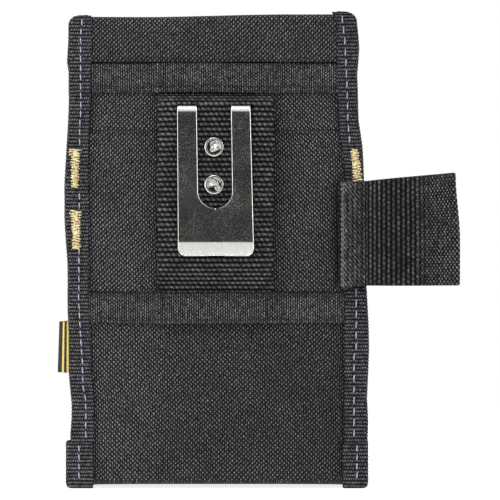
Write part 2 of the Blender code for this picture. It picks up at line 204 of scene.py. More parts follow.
STITCH_LINE = {
    -1: (
        (0, 60.4), (40, 60.4), (46, 61.6), (58, 62.0), (68, 62.7), (86, 63.6), (165, 63.2),
        (172, 62.7), (207, 62.7), (216, 61.8),
    ),
    1: (
        (0, 62.2), (61, 62.2), (63, 63.2), (86, 63.2), (150, 60.9), (159, 60.2), (166, 59.5),
        (182, 59.0), (196, 58.4), (205, 57.9), (217, 56.5),
    ),
}
BINDING_TOP = {-1: 215.8, 1: 217.5}


def edge(side, height):
    """Distance from the middle to the bound edge on one side, with the rounded corners left out."""
    heights, reach = EDGE[side]
    kept = heights <= STRAIGHT_TOP + 0.3
    return np.interp(height, heights[kept], reach[kept]) + read(WANDER[side], height)


# ---- weave patterns, from 0 in a gap to 1 on a yarn -------------------------------------

# For each webbing: whether its rows run up the piece, the beads' pitch along a row, the rows'
# pitch, how much of a row shows between beads, and how far each bead leans.
WEAVES = {
    "belt": (False, 2.42, 2.28, 0.25, 0.45),
    "loop": (True, 2.42, 2.15, 0.35, 0.0),
    "binding": (False, 1.05, 1.65, 0.25, 0.0),
    "tape": (True, 1.58, 1.02, 0.3, 0.0),
}
# How deep the relief of each kind of piece is.
WEAVE_DEEP = {"belt": 0.62, "loop": 0.5, "binding": 0.3, "cross": 0.2, "mouth": 0.15}


def beads(look, u, v):
    """Rows of beads, set half a bead over from row to row: 0 in a gap, 1 on a bead."""
    upright, across, along, base, lean = WEAVES[look]
    a, b = (v, u) if upright else (u, v)
    row = np.floor(b / along)
    slide = (b / along - row - 0.5) * lean * across + row * across * 0.5
    bead = np.abs(np.sin(math.pi * (a + slide) / across)) ** 0.9
    return np.abs(np.sin(math.pi * b / along)) ** 0.8 * (base + (1 - base) * bead)


# ---- material graphs --------------------------------------------------------------------


class Field:
    """A number for each point of a surface, with plain arithmetic on it."""

    def __init__(self, graph, socket):
        self.graph, self.socket = graph, socket

    def __add__(self, other):
        return self.graph.math("ADD", self, other)

    def __sub__(self, other):
        return self.graph.math("SUBTRACT", self, other)

    def __rsub__(self, other):
        return self.graph.math("SUBTRACT", other, self)

    def __mul__(self, other):
        return self.graph.math("MULTIPLY", self, other)

    def __truediv__(self, other):
        return self.graph.math("DIVIDE", self, other)

    def __pow__(self, other):
        return self.graph.math("POWER", self, other)

    def __abs__(self):
        return self.graph.math("ABSOLUTE", self)

    __radd__, __rmul__ = __add__, __mul__

    def spread(self, low, high, new_low, new_high):
        """low to high stretched to new_low to new_high, and held at its ends."""
        inputs = dict(enumerate((self, low, high, new_low, new_high)))
        return self.graph.add("MapRange", inputs)


class Graph:
    """A material's node tree, with short calls that add a node and give back its output."""

    def __init__(self, name):
        self.material = bpy.data.materials.new(name)
        self.material.use_nodes = True
        self.tree = self.material.node_tree
        self.shader = self.tree.nodes["Principled BSDF"].inputs

    def put(self, socket, value):
        if isinstance(value, Field):
            self.tree.links.new(value.socket, socket)
        else:
            socket.default_value = value

    def add(self, kind, inputs=(), output=0, **settings):
        made = self.tree.nodes.new("ShaderNode" + kind)
        for key, value in settings.items():
            setattr(made, key, value)
        for key, value in dict(inputs).items():
            self.put(made.inputs[key], value)
        return Field(self, made.outputs[output])

    def math(self, operation, a, b=0.0):
        return self.add("Math", {0: a, 1: b}, operation=operation)

    def axes(self, where):
        """The parts of a coordinate: u and v of the UVs, or x, y and z of the object."""
        split = self.add("SeparateXYZ", {0: self.add("TexCoord", output=where)})
        return [Field(self, socket) for socket in split.socket.node.outputs]

    def wobbled_uv(self, amount):
        """u and v, shifted a little here and there, as no weave is quite even."""
        u, v, _ = self.axes("UV")
        return [
            value + (self.noise(scale, 1.0) - 0.5) * amount
            for value, scale in ((u, 620.0), (v, 740.0))
        ]

    def wave(self, value, period, kind="SINE"):
        return self.math(kind, value * (2 * math.pi / period))

    def hills(self, value, pitch, power):
        """0 at each multiple of the pitch and 1 between them."""
        return abs(self.wave(value, 2 * pitch)) ** power

    def beads(self, look, u, v, power):
        """The same pattern as beads() above, worked out for each point of the surface."""
        upright, across, along, base, lean = WEAVES[look]
        a, b = (v, u) if upright else (u, v)
        place = b / (along * MM)
        row = self.math("FLOOR", place)
        slide = (place - row - 0.5) * (lean * across * MM) + row * (across * MM / 2)
        bead = self.hills(a + slide, across * MM, power).spread(0, 1, base, 1.0)
        return self.hills(b, along * MM, power) * bead

    def attribute(self, name):
        return self.add("Attribute", output="Fac", attribute_name=name)

    def noise(self, scale, detail=3.0):
        where = self.add("TexCoord", output="Object")
        inputs = {"Vector": where, "Scale": scale, "Detail": detail, "Roughness": 0.55}
        return self.add("TexNoise", inputs)

    def mix(self, share, first, second):
        inputs = {"Factor": share, 6: first, 7: second}  # 6 and 7 are its two colours
        return self.add("Mix", inputs, 2, data_type="RGBA")

    def per_cell(self, u, v, across, along):
        """A random number for each cell of the weave."""
        cell = {0: self.math("FLOOR", u / across), 1: self.math("FLOOR", v / along)}
        vector = self.add("CombineXYZ", cell)
        return self.add("TexWhiteNoise", {"Vector": vector}, noise_dimensions="2D")

    def finish(self, colour, height, distance, roughness, metallic=0.0, specular=0.4):
        """The material, with its relief: a height field and how high that stands, in metres."""
        self.put(self.shader["Base Color"], colour)
        self.put(self.shader["Normal"], self.add("Bump", {"Height": height, "Distance": distance}))
        self.put(self.shader["Roughness"], roughness)
        self.shader["Metallic"].default_value = metallic
        self.shader["Specular IOR Level"].default_value = specular
        return self.material


def grey(level, blue=0.07):
    """A near-neutral colour, a little blue like dyed nylon."""
    return (level, level, level * (1 + blue), 1)


def shade(g, light, level, bright):
    """Yarn colour from a 0..1 pattern, with slow mottling, lighter worn borders, and the painted
    light that the mesh carries: painted shade below 1, and a painted highlight above 1."""
    slow = g.noise(55.0, 4.0).spread(0.3, 0.7, 0.84, 1.18)
    worn = g.attribute("border") * g.noise(700.0)
    # tone darkens the yarn where shade is painted, and lightens it for a painted highlight.
    share = (light * slow + worn * 0.08) * g.attribute("tone")
    return g.mix(share, grey(level * 0.01), grey(level * bright))


def grain(g, low, high, scale):
    """Uneven light on single filaments."""
    return g.noise(scale, 1.5).spread(0.34, 0.66, low, high)


def diagonal_lead(g):
    """Which of the weave's two diagonals leads, from -1 to 1: one at the left and in the hem, the
    other at the right, and hardly either of them low down."""
    x, _, z = g.axes("Object")
    across = x.spread(-0.05, 0.05, 1.0, -1.0)
    upper = z.spread(0.08, 0.1, -0.4, 1.0)
    in_hem = z.spread(0.193, 0.197, 0.0, 1.0)
    return across * upper * (1.0 - in_hem) + in_hem + g.noise(70.0, 2.0).spread(0.35, 0.65, -0.5, 0.5)


# ---- materials --------------------------------------------------------------------------

YARN_BRIGHT = 9.4  # a lit yarn's brightness, as a multiple of the cloth's level
DIAGONAL = (0.16, 0.44)  # a diagonal's strength where the other one leads, and where it does
PLY_PITCH = 0.00042
LOOP_TAIL_END = 10.4  # along the side loop's ring: where its sewn tail ends,
LOOP_BASKET = (34.0, 42.0, 57.0)  # and where its ribs start and end closing into a basket, and stop
SCRATCHES = (3000, 3000, 90)  # scratches are fine across the steel and long down it
SEWING_TWIST = 0.0008
STRIPES, STRIPE_HALF = (0.0013, 0.0033), 0.00042


def woven_cloth(name, level, pitch=0.00103, lift=0.0002):
    """Plain-weave nylon: a lattice of small yarn dots whose diagonals come and go."""
    g = Graph(name)
    u, v = g.wobbled_uv(0.0010)
    lead = diagonal_lead(g)
    slash = g.wave(u - v, 2 * pitch, "COSINE") * lead.spread(-1, 1, *DIAGONAL)
    back = g.wave(u + v, 2 * pitch, "COSINE") * lead.spread(-1, 1, *DIAGONAL[::-1])
    height = slash - back + g.hills(u, pitch, 1.0) * 1.1 + g.hills(v, pitch, 1.0) * 0.4
    height = height.spread(0.42, 1.9, 0.0, 1.0)
    cell = g.per_cell(u, v, pitch, pitch)
    # The yarn tops are a painted highlight, and the gaps between them are painted shade.
    light = height**2.2 * cell.spread(0, 1, 0.8, 1.2) * grain(g, 0.2, 1.8, 3000.0)
    colour = shade(g, light, level, YARN_BRIGHT)
    relief = height + g.noise(4200.0, 2.0) * 0.3
    return g.finish(colour, relief, lift, height.spread(0, 1, 0.98, 0.6), specular=0.2)


def woven_webbing(name, look, level, bright, power):
    """Webbing: the mesh has its beads, and this adds painted shade in the gaps, fleck and fine filaments.
    """
    g = Graph(name)
    u, v = g.wobbled_uv(0.0005)
    pattern = g.beads(look, u, v, power)
    if look == "loop":
        pattern = loop_pattern(g, pattern, u, v)
    upright, across, along, _, _ = WEAVES[look]
    cell = g.per_cell(u, v, *((along * MM, across * MM) if upright else (across * MM, along * MM)))
    twist = g.wave(u + v * 0.6, PLY_PITCH)
    # Painted highlight on the beads, and painted shade in the gaps between them.
    light = pattern * twist.spread(-1, 1, 0.7, 1.15) * grain(g, 0.0, 2.1, 1800.0)
    colour = shade(g, light * cell.spread(0, 1, 0.55, 1.4), level, bright)
    relief = twist + g.noise(3500.0, 2.0) * 1.2
    return g.finish(colour, relief, 0.00005, pattern.spread(0, 1, 0.98, 0.55), specular=0.2)


def loop_pattern(g, ribs, u, v):
    """The side loop's ribs, its tail's slanting yarns, the basket look towards its tip, and the
    column of beads on the tail's fold, which the mesh marks by a painted highlight above 1.5."""
    tail = g.wave(u / 1.62 + v / 2.3, MM).spread(-0.2, 1, 0.02, 1.1)
    basket = g.wave(u, 0.00163, "COSINE") * g.wave(v, 0.00242, "COSINE")
    basket = basket.spread(0.1, 1.0, 0.02, 1.5)
    near = u.spread(LOOP_TAIL_END * MM, (LOOP_TAIL_END - 1) * MM, 0.0, 0.5)
    start, full, stop = (place * MM for place in LOOP_BASKET)
    far = u.spread(start, full, 0.0, 0.85) * u.spread(stop, stop + MM, 1, 0)
    total = ribs * (1.0 - near - far) + tail * near + basket * far
    # The fold's bead column is a painted highlight.
    fold = g.attribute("tone").spread(1.5, 3.0, 0.0, 1.0)
    return g.hills(v + u * 0.6, 0.00232, 4.0) * fold + total * (1.0 - fold)


def spring_steel(name, colour, rough, fleck, dents):
    """Plated steel, faintly mottled, flecked and scratched, with dents where it was hammered."""
    g = Graph(name)
    fine = g.noise(3300.0, 4.0)
    slow = g.noise(75.0, 4.0)
    pale = tuple(min(c * 1.05, 1) for c in colour) + (1,)
    dim = tuple(c * 0.8 for c in colour) + (1,)
    where = g.add("TexCoord", output="Object")
    stretched = g.add("Mapping", {"Vector": where, "Scale": SCRATCHES})
    scratch = g.add("TexNoise", {"Vector": stretched, "Scale": 1.0})
    marks = scratch + g.noise(620.0, 2.0) * dents
    dull = slow.spread(0.35, 0.65, 0.0, 0.05) + fine.spread(0.40, 0.64, 0.0, fleck)
    colour = g.mix(fine.spread(0.35, 0.65, 0, 1), dim, pale)
    return g.finish(colour, marks, 0.00003, dull + rough, metallic=1.0)


def sewing_thread(name, dim, pale, shine=0.5):
    """Twisted filament thread, with painted shade between its plies and a painted highlight on them."""
    g = Graph(name)
    along, around, _ = g.axes("UV")
    ply = g.math("SINE", along * (2 * math.pi / SEWING_TWIST) + around)
    colour = g.mix(ply.spread(-1, 1, 0.3, 1) * grain(g, 0.25, 1.6, 900.0), dim + (1,), pale + (1,))
    return g.finish(colour, ply, 0.00006, g.noise(2000.0).spread(0.3, 0.7, shine - 0.08, shine + 0.12))


def label_fabric(name):
    """Black satin tape with two plain gold stripes along it."""
    g = Graph(name)
    u, v, _ = g.axes("UV")
    stripe = sum(g.math("LESS_THAN", abs(u - centre), STRIPE_HALF) for centre in STRIPES)
    ribs = g.wave(v, 0.0005)
    fibre = g.noise(2400.0).spread(0.3, 0.7, 0.6, 1.3)
    cloth = g.mix(ribs.spread(-1, 1, 0.3, 1) * fibre, grey(0.004), grey(0.02))
    gold = g.mix(fibre, (0.5, 0.34, 0.05, 1), (0.95, 0.72, 0.16, 1))
    g.shader["Sheen Weight"].default_value = 0.2
    g.shader["Sheen Roughness"].default_value = 0.45
    rough = g.noise(800.0).spread(0.3, 0.7, 0.42, 0.6)
    return g.finish(g.mix(stripe, cloth, gold), ribs, 0.00005, rough)


def board(name):
    """The fibre stiffener inside the back."""
    g = Graph(name)
    fibre = g.noise(420.0, 6.0)
    rough = fibre.spread(0.3, 0.7, 0.6, 0.85)
    return g.finish(g.mix(fibre, grey(0.01), grey(0.07)), fibre, 0.0001, rough)


LEVEL = 0.024
LOOK = {  # each look's material, and the record's slot that it is a finish of
    "cloth": (woven_cloth("pouch_cloth", LEVEL), "pouch_cloth"),
    "front_cloth": (woven_cloth("pocket_cloth", LEVEL * 0.95), "pouch_cloth"),
    "lining": (woven_cloth("lining_cloth", LEVEL * 0.7, 0.0008, 0.0001), "pouch_cloth"),
    "belt": (woven_webbing("belt_webbing_yarn", "belt", LEVEL, 7.6, 3.2), "webbing"),
    "loop": (woven_webbing("loop_webbing_yarn", "loop", LEVEL, 10.0, 3.6), "webbing"),
    "binding": (woven_webbing("edge_tape_yarn", "binding", LEVEL, 8.2, 2.2), "edge_tape"),
    "tape": (woven_webbing("cross_tape_yarn", "tape", LEVEL, 13.5, 3.8), "edge_tape"),
    "steel": (spring_steel("clip_steel", (0.94, 0.93, 0.89), 0.02, 0.21, 0.0), "clip_steel"),
    "rivet": (spring_steel("rivet_steel", (0.88, 0.86, 0.82), 0.02, 0.05, 2.0), "rivet_steel"),
    "gold": (sewing_thread("gold_thread", (0.40, 0.20, 0.02), (1.0, 0.94, 0.60), 0.3), "gold_thread"),
    "pale": (sewing_thread("pale_thread", (0.16, 0.18, 0.24), (0.52, 0.57, 0.70)), "gold_thread"),
    "dark": (sewing_thread("dark_thread", (0.002, 0.002, 0.002), (0.03, 0.03, 0.035)), "gold_thread"),
    "label": (label_fabric("label_cloth"), "label_cloth"),
    "board": (board("stiffener_board"), "stiffener"),
}


# ---- mesh builders ----------------------------------------------------------------------


def new_object(name, points, faces):
    """An object in metres from points in millimetres."""
    mesh = bpy.data.meshes.new(name)
    points = (np.asarray(points, float) * MM).tolist()
    mesh.from_pydata(points, [], [list(map(int, face)) for face in faces])
    made = bpy.data.objects.new(name, mesh)
    bpy.context.scene.collection.objects.link(made)
    return made


def make_piece(name, points, faces, uvs, look, **attributes):
    """A smooth-shaded piece with a UV for each point, a look, and numbers on its points."""
    made = new_object(name, points, faces)
    mesh = made.data
    layer = mesh.uv_layers.new(name="UVMap")
    corners = np.zeros(len(mesh.loops), np.int32)
    mesh.loops.foreach_get("vertex_index", corners)
    layer.data.foreach_set("uv", (np.asarray(uvs)[corners] * MM).astype(np.float32).ravel())
    for label, values in attributes.items():
        layer = mesh.attributes.new(label, "FLOAT", "POINT")
        layer.data.foreach_set("value", np.asarray(values, np.float32))
    mesh.polygons.foreach_set("use_smooth", [True] * len(mesh.polygons))
    material, slot = LOOK[look]
    mesh.materials.append(material)
    mesh.validate()
    return made


def on_pouch(made, *nodes, flat=None, held=None, rests_on=()):
    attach(made, "pouch")
    if nodes:
        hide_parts(*nodes)


def slopes(mid, ring):
    """Directions along both ways of a grid of points."""
    if ring:
        along_u = np.roll(mid, -1, 0) - np.roll(mid, 1, 0)
    else:
        along_u = np.gradient(mid, axis=0)
    return unit(along_u), unit(np.gradient(mid, axis=1))


def lengths(mid):
    """Distances along both ways of a grid, averaged over the other way."""
    step_u = np.linalg.norm(np.diff(mid, axis=0), axis=2).mean(1)
    step_v = np.linalg.norm(np.diff(mid, axis=1), axis=2).mean(0)
    u = np.concatenate([[0], np.cumsum(step_u)])
    v = np.concatenate([[0], np.cumsum(step_v)])
    return u[:, None] + 0 * v[None, :], 0 * u[:, None] + v[None, :]


def hole_walls(kept, index):
    """Faces that line the holes where cells are left out, from the outer face to the inner one."""
    quads = []
    for i, j in zip(*np.where(~kept)):
        corners = (index[i, j], index[i + 1, j], index[i + 1, j + 1], index[i, j + 1])
        beside = ((i, j - 1), (i + 1, j), (i, j + 1), (i - 1, j))
        for k, (a, b) in enumerate(beside):
            if kept[a, b]:
                first, second = corners[k], corners[(k + 1) % 4]
                quads.append((first, second, second + index.size, first + index.size))
    return quads


WORN_WIDTH = 1.2  # how far in from its borders a sheet looks worn
RIM_SHARE = 0.36  # how far a rim stands out, as a share of the sheet's thickness


def slab(name, mid, thick, look, depth=0.0, ring=False, flip=False, keep=None, open_u=None, tone=None):
    """A sheet with two faces and rounded rims round a grid of points, with its weave as relief.

    depth is how deep the weave is, ring joins the last row to the first, flip turns the sheet
    over, keep says which cells are made, open_u says for each column that the last row has no rim
    there, and tone gives each point's painted shade or highlight from its place."""
    mid = np.asarray(mid, float)
    if flip:
        mid = mid[::-1]
    along_u, along_v = slopes(mid, ring)
    u, v = lengths(mid)
    half = thick / 2 + 0 * u
    if depth:
        half -= depth * (1 - beads(look, u, v))
    offset = unit(np.cross(along_u, along_v)) * half[..., None]
    border = np.minimum(v, v[:, -1:] - v)
    if not ring:
        border = np.minimum(border, np.minimum(u, u[-1:, :] - u))
    # Each point's painted shade, 1 where none is painted.
    toned = np.ones_like(u) if tone is None else tone(mid[..., 0], mid[..., 1], mid[..., 2]) + 0 * u

    size = u.size
    index = np.arange(size).reshape(u.shape)
    ids = np.concatenate([index.ravel()] * 2)
    points = [(mid + offset).reshape(-1, 3), (mid - offset).reshape(-1, 3)]
    following = np.roll(index, -1, 0) if ring else index[1:]
    start = index if ring else index[:-1]
    cells = np.stack([start[:, :-1], following[:, :-1], following[:, 1:], start[:, 1:]], -1)
    faces = []
    if keep is not None:
        kept = keep(mid[:-1, :-1])
        faces += hole_walls(kept, index)
        cells = cells[kept]
    cells = cells.reshape(-1, 4)
    faces = [*cells, *(cells[:, ::-1] + size), *faces]

    def rim(line, outward, closed=False, skip=None):
        """Joins the outer and inner faces along one border by a rounded strip."""
        nonlocal ids
        new = np.arange(len(ids), len(ids) + len(line))
        points.append(mid.reshape(-1, 3)[line] + outward * thick * RIM_SHARE)
        ids = np.concatenate([ids, line])
        for i in range(len(line) if closed else len(line) - 1):
            j = (i + 1) % len(line)
            if skip is None or not (skip[i] and skip[j]):
                faces.append((line[i], new[i], new[j], line[j]))
                faces.append((new[i], line[i] + size, line[j] + size, new[j]))

    rim(index[:, 0][::-1], -along_v[:, 0][::-1], ring)
    rim(index[:, -1], along_v[:, -1], ring)
    if not ring:
        rim(index[0], -along_u[0])
        rim(index[-1][::-1], along_u[-1][::-1], skip=None if open_u is None else open_u[::-1])
    uvs = np.stack([u.ravel(), v.ravel()], -1)[ids]
    worn = np.exp(-border / WORN_WIDTH).ravel()[ids]
    return make_piece(
        name, np.concatenate(points), faces, uvs, look, tone=toned.ravel()[ids], border=worn
    )


def tubes(name, runs, radius, look, sides=6):
    """Threads: round tubes with closed, tapered ends along each of the given lines."""
    points, faces, uvs = [], [], []
    turns = np.linspace(0, 2 * math.pi, sides, endpoint=False)
    base = 0
    for run in runs:
        line = np.asarray(run, float)
        along = unit(np.gradient(line, axis=0))
        helper = np.array([0.0, 0, 1]) if abs(along[0][2]) < 0.8 else np.array([1.0, 0, 0])
        first = unit(np.cross(along, helper))
        second = np.cross(along, first)
        count = len(line)
        for i, far in enumerate(travel(line)):
            wide = radius * (0.55 if i in (0, count - 1) else 1.0)
            around = np.cos(turns)[:, None] * first[i] + np.sin(turns)[:, None] * second[i]
            points.append(line[i] + wide * around)
            uvs.append(np.stack([np.full(sides, far), turns / MM], -1))
        for i in range(count - 1):
            for k in range(sides):
                a, b = base + i * sides + k, base + i * sides + (k + 1) % sides
                faces.append((a, b, b + sides, a + sides))
        faces.append([base + k for k in range(sides)][::-1])
        faces.append([base + (count - 1) * sides + k for k in range(sides)])
        base += count * sides
    return make_piece(name, np.concatenate(points), faces, np.concatenate(uvs), look)


# Each row's stitches: their pitch, their length, and how high they stand.
TAPE_STITCH = (2.2, 1.3, 0.2)
LOOP_STITCH = (3.0, 2.2, 0.16)
MOUTH_STITCH = (3.6, 2.4, 0.16)
DIVIDER_STITCH = (3.6, 2.4, 0.2)
BINDING_STITCH = {-1: (4.2, 2.8, 0.2), 1: (5.0, 3.2, 0.2)}
REAR_STITCH = (4.2, 2.8, 0.2)
CORNER_STITCH = (4.1, 2.7, 0.2)
# A stitch's points: how far along it each is, as a share of its length, and how high it stands.
STITCH_SHAPE = ((-0.5, -0.35), (-0.36, 0.55), (0.0, 1.0), (0.36, 0.55), (0.5, -0.35))


def stitches(line, normal, pitch, length, high, lean=0.0, start=0.5):
    """Short runs of thread along a line: each rises out of the cloth and dives back in."""
    line = np.asarray(line, float)
    along = travel(line)
    normal = np.broadcast_to(np.asarray(normal, float), line.shape)
    runs = []
    middle = pitch * start
    while middle + length / 2 < along[-1]:
        run = []
        for share, rise in STITCH_SHAPE:
            at = np.clip(middle + share * length, 0, along[-1])
            point = np.array([np.interp(at, along, axis) for axis in line.T])
            up = np.array([np.interp(at, along, axis) for axis in normal.T])
            i = max(min(np.searchsorted(along, at), len(line) - 1), 1)
            sideways = unit(np.cross(unit(line[i] - line[i - 1]), up))
            run.append(point + up * rise * high + sideways * lean * share)
        runs.append(run)
        middle += pitch
    return runs


SIM_FRAMES = 20
CLOTH = {  # the settings that both pocket cloths share
    "vertex_group_mass": "held",
    "quality": 6,
    "mass": 0.25,
    "tension_stiffness": 30,
    "compression_stiffness": 12,
    "shear_stiffness": 8,
    "bending_stiffness": 1.5,
    "use_pressure": True,
}


def simulate(grid, held, pressure, gravity, cap):
    """Cloth on a sheet whose held points stay still. Returns the grid, moved by at most cap."""
    index = np.arange(grid.shape[0] * grid.shape[1]).reshape(grid.shape[:2])
    cells = np.stack([index[:-1, :-1], index[1:, :-1], index[1:, 1:], index[:-1, 1:]], -1)
    trial = new_object("cloth_trial", grid.reshape(-1, 3), cells.reshape(-1, 4))
    trial.vertex_groups.new(name="held").add(index[held].tolist(), 1.0, "REPLACE")
    cloth = trial.modifiers.new("cloth", "CLOTH").settings
    for key, value in CLOTH.items():
        setattr(cloth, key, value)
    cloth.uniform_pressure_force = pressure
    cloth.effector_weights.gravity = gravity
    scene = bpy.context.scene
    for number in range(1, SIM_FRAMES + 1):
        scene.frame_set(number)
    shaped = trial.evaluated_get(bpy.context.evaluated_depsgraph_get())
    moved = np.array([vertex.co for vertex in shaped.data.vertices], float) / MM
    scene.frame_set(1)
    mesh = trial.data
    bpy.data.objects.remove(trial)
    bpy.data.meshes.remove(mesh)
    shift = moved.reshape(grid.shape) - grid
    far = np.linalg.norm(shift, axis=2, keepdims=True)
    return grid + shift * np.minimum(1, cap / np.maximum(far, 1e-9))


def along_z(line_at, heights):
    """A grid from plan lines: line_at(z) gives the x, y points at one height."""
    rows = []
    for z in heights:
        line = np.asarray(line_at(z), float)
        rows.append(np.column_stack([line, np.full(len(line), z)]))
    return np.stack(rows, 1)


def along_x(profile, columns):
    """A grid from one (y, z) profile carried across in x. The first way is x."""
    profile = np.asarray(profile, float)
    return np.stack([np.column_stack([np.full(len(profile), x), profile]) for x in columns], 0)


# ---- back: cloth, lining and hem --------------------------------------------------------

CROSS_SEAM_Z = 163.4
BACK_FLAT = (0.137, 0.215)
BACK_WIDTH = 132
HALF_WIDTH = 62
DRAWN_FROM = 52.5  # from here outwards the back is drawn in towards the bindings
LOWER_SHADE = 96  # below this the back gets darker towards the right
HEM_THICK = 1.0
HEM_TOP_RADIUS = 2.6
HEM_REACH = (5.4, 7.4)  # how far the hem's ends go on under the left and right binding
HEM_SLOPE = ((-57, 1.2), (0, 0.7), (30, 0.1), (52, 0.0))  # x, and how far its top is lower there


def beside_tail(z):
    """1 at the heights of the side loop's tail, dying away over a few millimetres."""
    return within(z, ANCHOR[0][2] - 3, ANCHOR[1][2] + 1, 4, 3)


def back_swell(x, z):
    """How far the back cloth stands out: a soft fullness below the lower tape and slight ripples."""
    low_part = np.clip((z - 3) / (LOWER_TAPE[0][2] - 4), 0, 1)
    fullness = 0.75 * np.sin(math.pi * low_part) ** 0.7 * (1 - np.abs(x / HALF_WIDTH) ** 4)
    middle_part = np.clip((z - LOWER_TAPE[1][2]) / (UPPER_TAPE[0][2] - LOWER_TAPE[1][2]), 0, 1)
    flat = 0.22 * np.sin(math.pi * middle_part) ** 0.5
    waves = 0.16 * ripple(x, z, 3) * np.clip((HALF_WIDTH - np.abs(x)) / 12, 0, 1)
    seam = -0.42 * bump(z, CROSS_SEAM_Z, 0.7) + 0.2 * bump(z, CROSS_SEAM_Z + 1.7, 1.2)
    drawn = -0.45 * smooth((np.abs(x) - DRAWN_FROM) / 3.5)
    return np.maximum(drawn + fullness + flat + waves * (low_part * 0.6 + 0.5) + seam, -0.5)


def back_tone(x, y, z):
    """Painted shade: darker beside the webbing, the bindings and the loop's tail, under the cross seam, and
    low down on the right.
    """
    free = within(z, 88, 184, 6, 4)
    beside = 0.45 * fade(WEBBING[0][0] - x, 3.0) + 0.5 * fade(x - WEBBING[1][0], 4.6)
    to_binding = np.minimum(x + read(INNER_EDGE[-1], z), read(INNER_EDGE[1], z) - x)
    inner = 0.45 * fade(to_binding, 1.3)
    by_tail = 0.85 * beside_tail(z) * fade(ANCHOR[0][0] - x, 2.4)
    under = 0.3 * fade(z - CROSS_SEAM_Z + 1.2, 1.0) * (z < CROSS_SEAM_Z + 0.6)
    level = 1 - 0.36 * smooth((LOWER_SHADE - z) / 30) * smooth((x + 58) / 50)
    level = level - 0.1 * smooth((x - 10) / 50)
    return level * (1 - free * beside) * (1 - inner) * (1 - by_tail) * (1 - under)


def make_back_layer(name, node, look, step, swell, tone=None):
    """A flat layer of the back, from seam to seam."""
    low, high = node_box(node)
    heights = np.linspace(low[2], high[2], int((high[2] - low[2]) / step))
    heights = np.unique(np.concatenate([heights, CROSS_SEAM_Z + np.linspace(-2.4, 3.2, 15)]))

    def line(z):
        pull = SEAM_INSET + draw_in(high[2] - z, TOP_CORNER, TOP_CORNER)
        x = np.linspace(pull - edge(-1, z), edge(1, z) - pull, int(BACK_WIDTH / step))
        return np.column_stack([x, (low[1] + high[1]) / 2 - swell(x, z)])

    grid = along_z(line, heights)
    x, z = grid[..., 0], grid[..., 2]
    grid[..., 2] += 2.0 * smooth((np.abs(x) - DRAWN_FROM) / 4.5) * (1 - smooth((z - low[2]) / 9))
    made = slab(name, grid, high[1] - low[1], look, tone=tone)
    on_pouch(made, node, flat=BACK_FLAT, held="stretched", rests_on=["back_stiffener"])


def hem_tone(x, y, z):
    """Painted shade, darkest in the fold's lower edge."""
    return 0.74 * (1 - 0.6 * np.exp(-np.maximum(z - HEM_LOW[2], 0) / 0.9))


def make_hem():
    """The band folded over the top edge, a little puffed along its length. Its ends reach under
    the bindings, and its top slopes down to the left."""
    outer = HEM_LOW[1] + HEM_THICK / 2
    inner = HEM_HIGH[1] - HEM_THICK / 2
    middle, radius = (outer + inner) / 2, (inner - outer) / 2
    rise = HEM_HIGH[2] - HEM_THICK / 2 - HEM_TOP_RADIUS
    turns = np.linspace(0, math.pi, 15)
    over = [(middle - radius * math.cos(t), rise + HEM_TOP_RADIUS * math.sin(t)) for t in turns]
    profile = resample([(outer, HEM_LOW[2]), *over, (inner, HEM_LOW[2])], 64)
    columns = np.linspace(HEM_LOW[0] - HEM_REACH[0], HEM_HIGH[0] + HEM_REACH[1], 138)
    grid = along_x(profile, columns)
    x, y, z = grid[..., 0], grid[..., 1], grid[..., 2]
    share = np.clip((z - HEM_LOW[2]) / (HEM_HIGH[2] - HEM_LOW[2]), 0, 1)
    puff = 0.35 * np.sin(math.pi * share) ** 0.8 + 0.14 * ripple(x, z, 12)
    puff *= smooth((61 - np.abs(x + 2.3)) / 8)
    side = np.where(y < middle, -1.0, 0.6)
    grid[..., 1] = y + side * puff * np.clip((np.abs(y - middle) / radius), 0, 1)
    grid[..., 2] = z + 0.25 * ripple(x, 0 * z, 5, 90, 40) * smooth(share * 2 - 1)
    grid[..., 2] -= read(HEM_SLOPE, x) * smooth(share * 2 - 1)
    made = slab("hem_band", grid, HEM_THICK, "cloth", tone=hem_tone)
    under = ["back_panel", "back_lining"]
    on_pouch(made, "top_hem", flat=(0.114, 0.049), held="folded", rests_on=under)


make_back_layer("back_cloth", "back_panel", "cloth", 1.0, back_swell, back_tone)
make_back_layer("lining_sheet", "back_lining", "lining", 2.0, lambda x, z: 0.1 * ripple(x, z + 0 * x, 8))
make_hem()

stiffener = frame["nodes"]["back_stiffener"]
stiffener.data.materials.clear()
stiffener.data.materials.append(LOOK["board"][0])


# ---- cross tapes ------------------------------------------------------------------------

TAPE_THICK = 0.8
UNDER_BINDING = 4.0
TAPE_FLAT_HEIGHT = 0.0138


def tape_line(box, count):
    """Plan of a cross tape: along the back cloth, and up over the belt webbing."""
    flat = BACK_FACE - 0.3 - TAPE_THICK / 2
    over = box[0][1] + TAPE_THICK / 2
    step = ((-4.2, flat), (-2.6, flat - 0.35), (-1.0, over + 0.3), (0.6, over))
    path = [(box[0][0] - UNDER_BINDING, flat)]
    path += [(WEBBING[0][0] + x, y) for x, y in step]
    path += [(WEBBING[1][0] - x, y) for x, y in step[::-1]]
    path += [(box[1][0] + UNDER_BINDING, flat)]
    return resample(path, count)


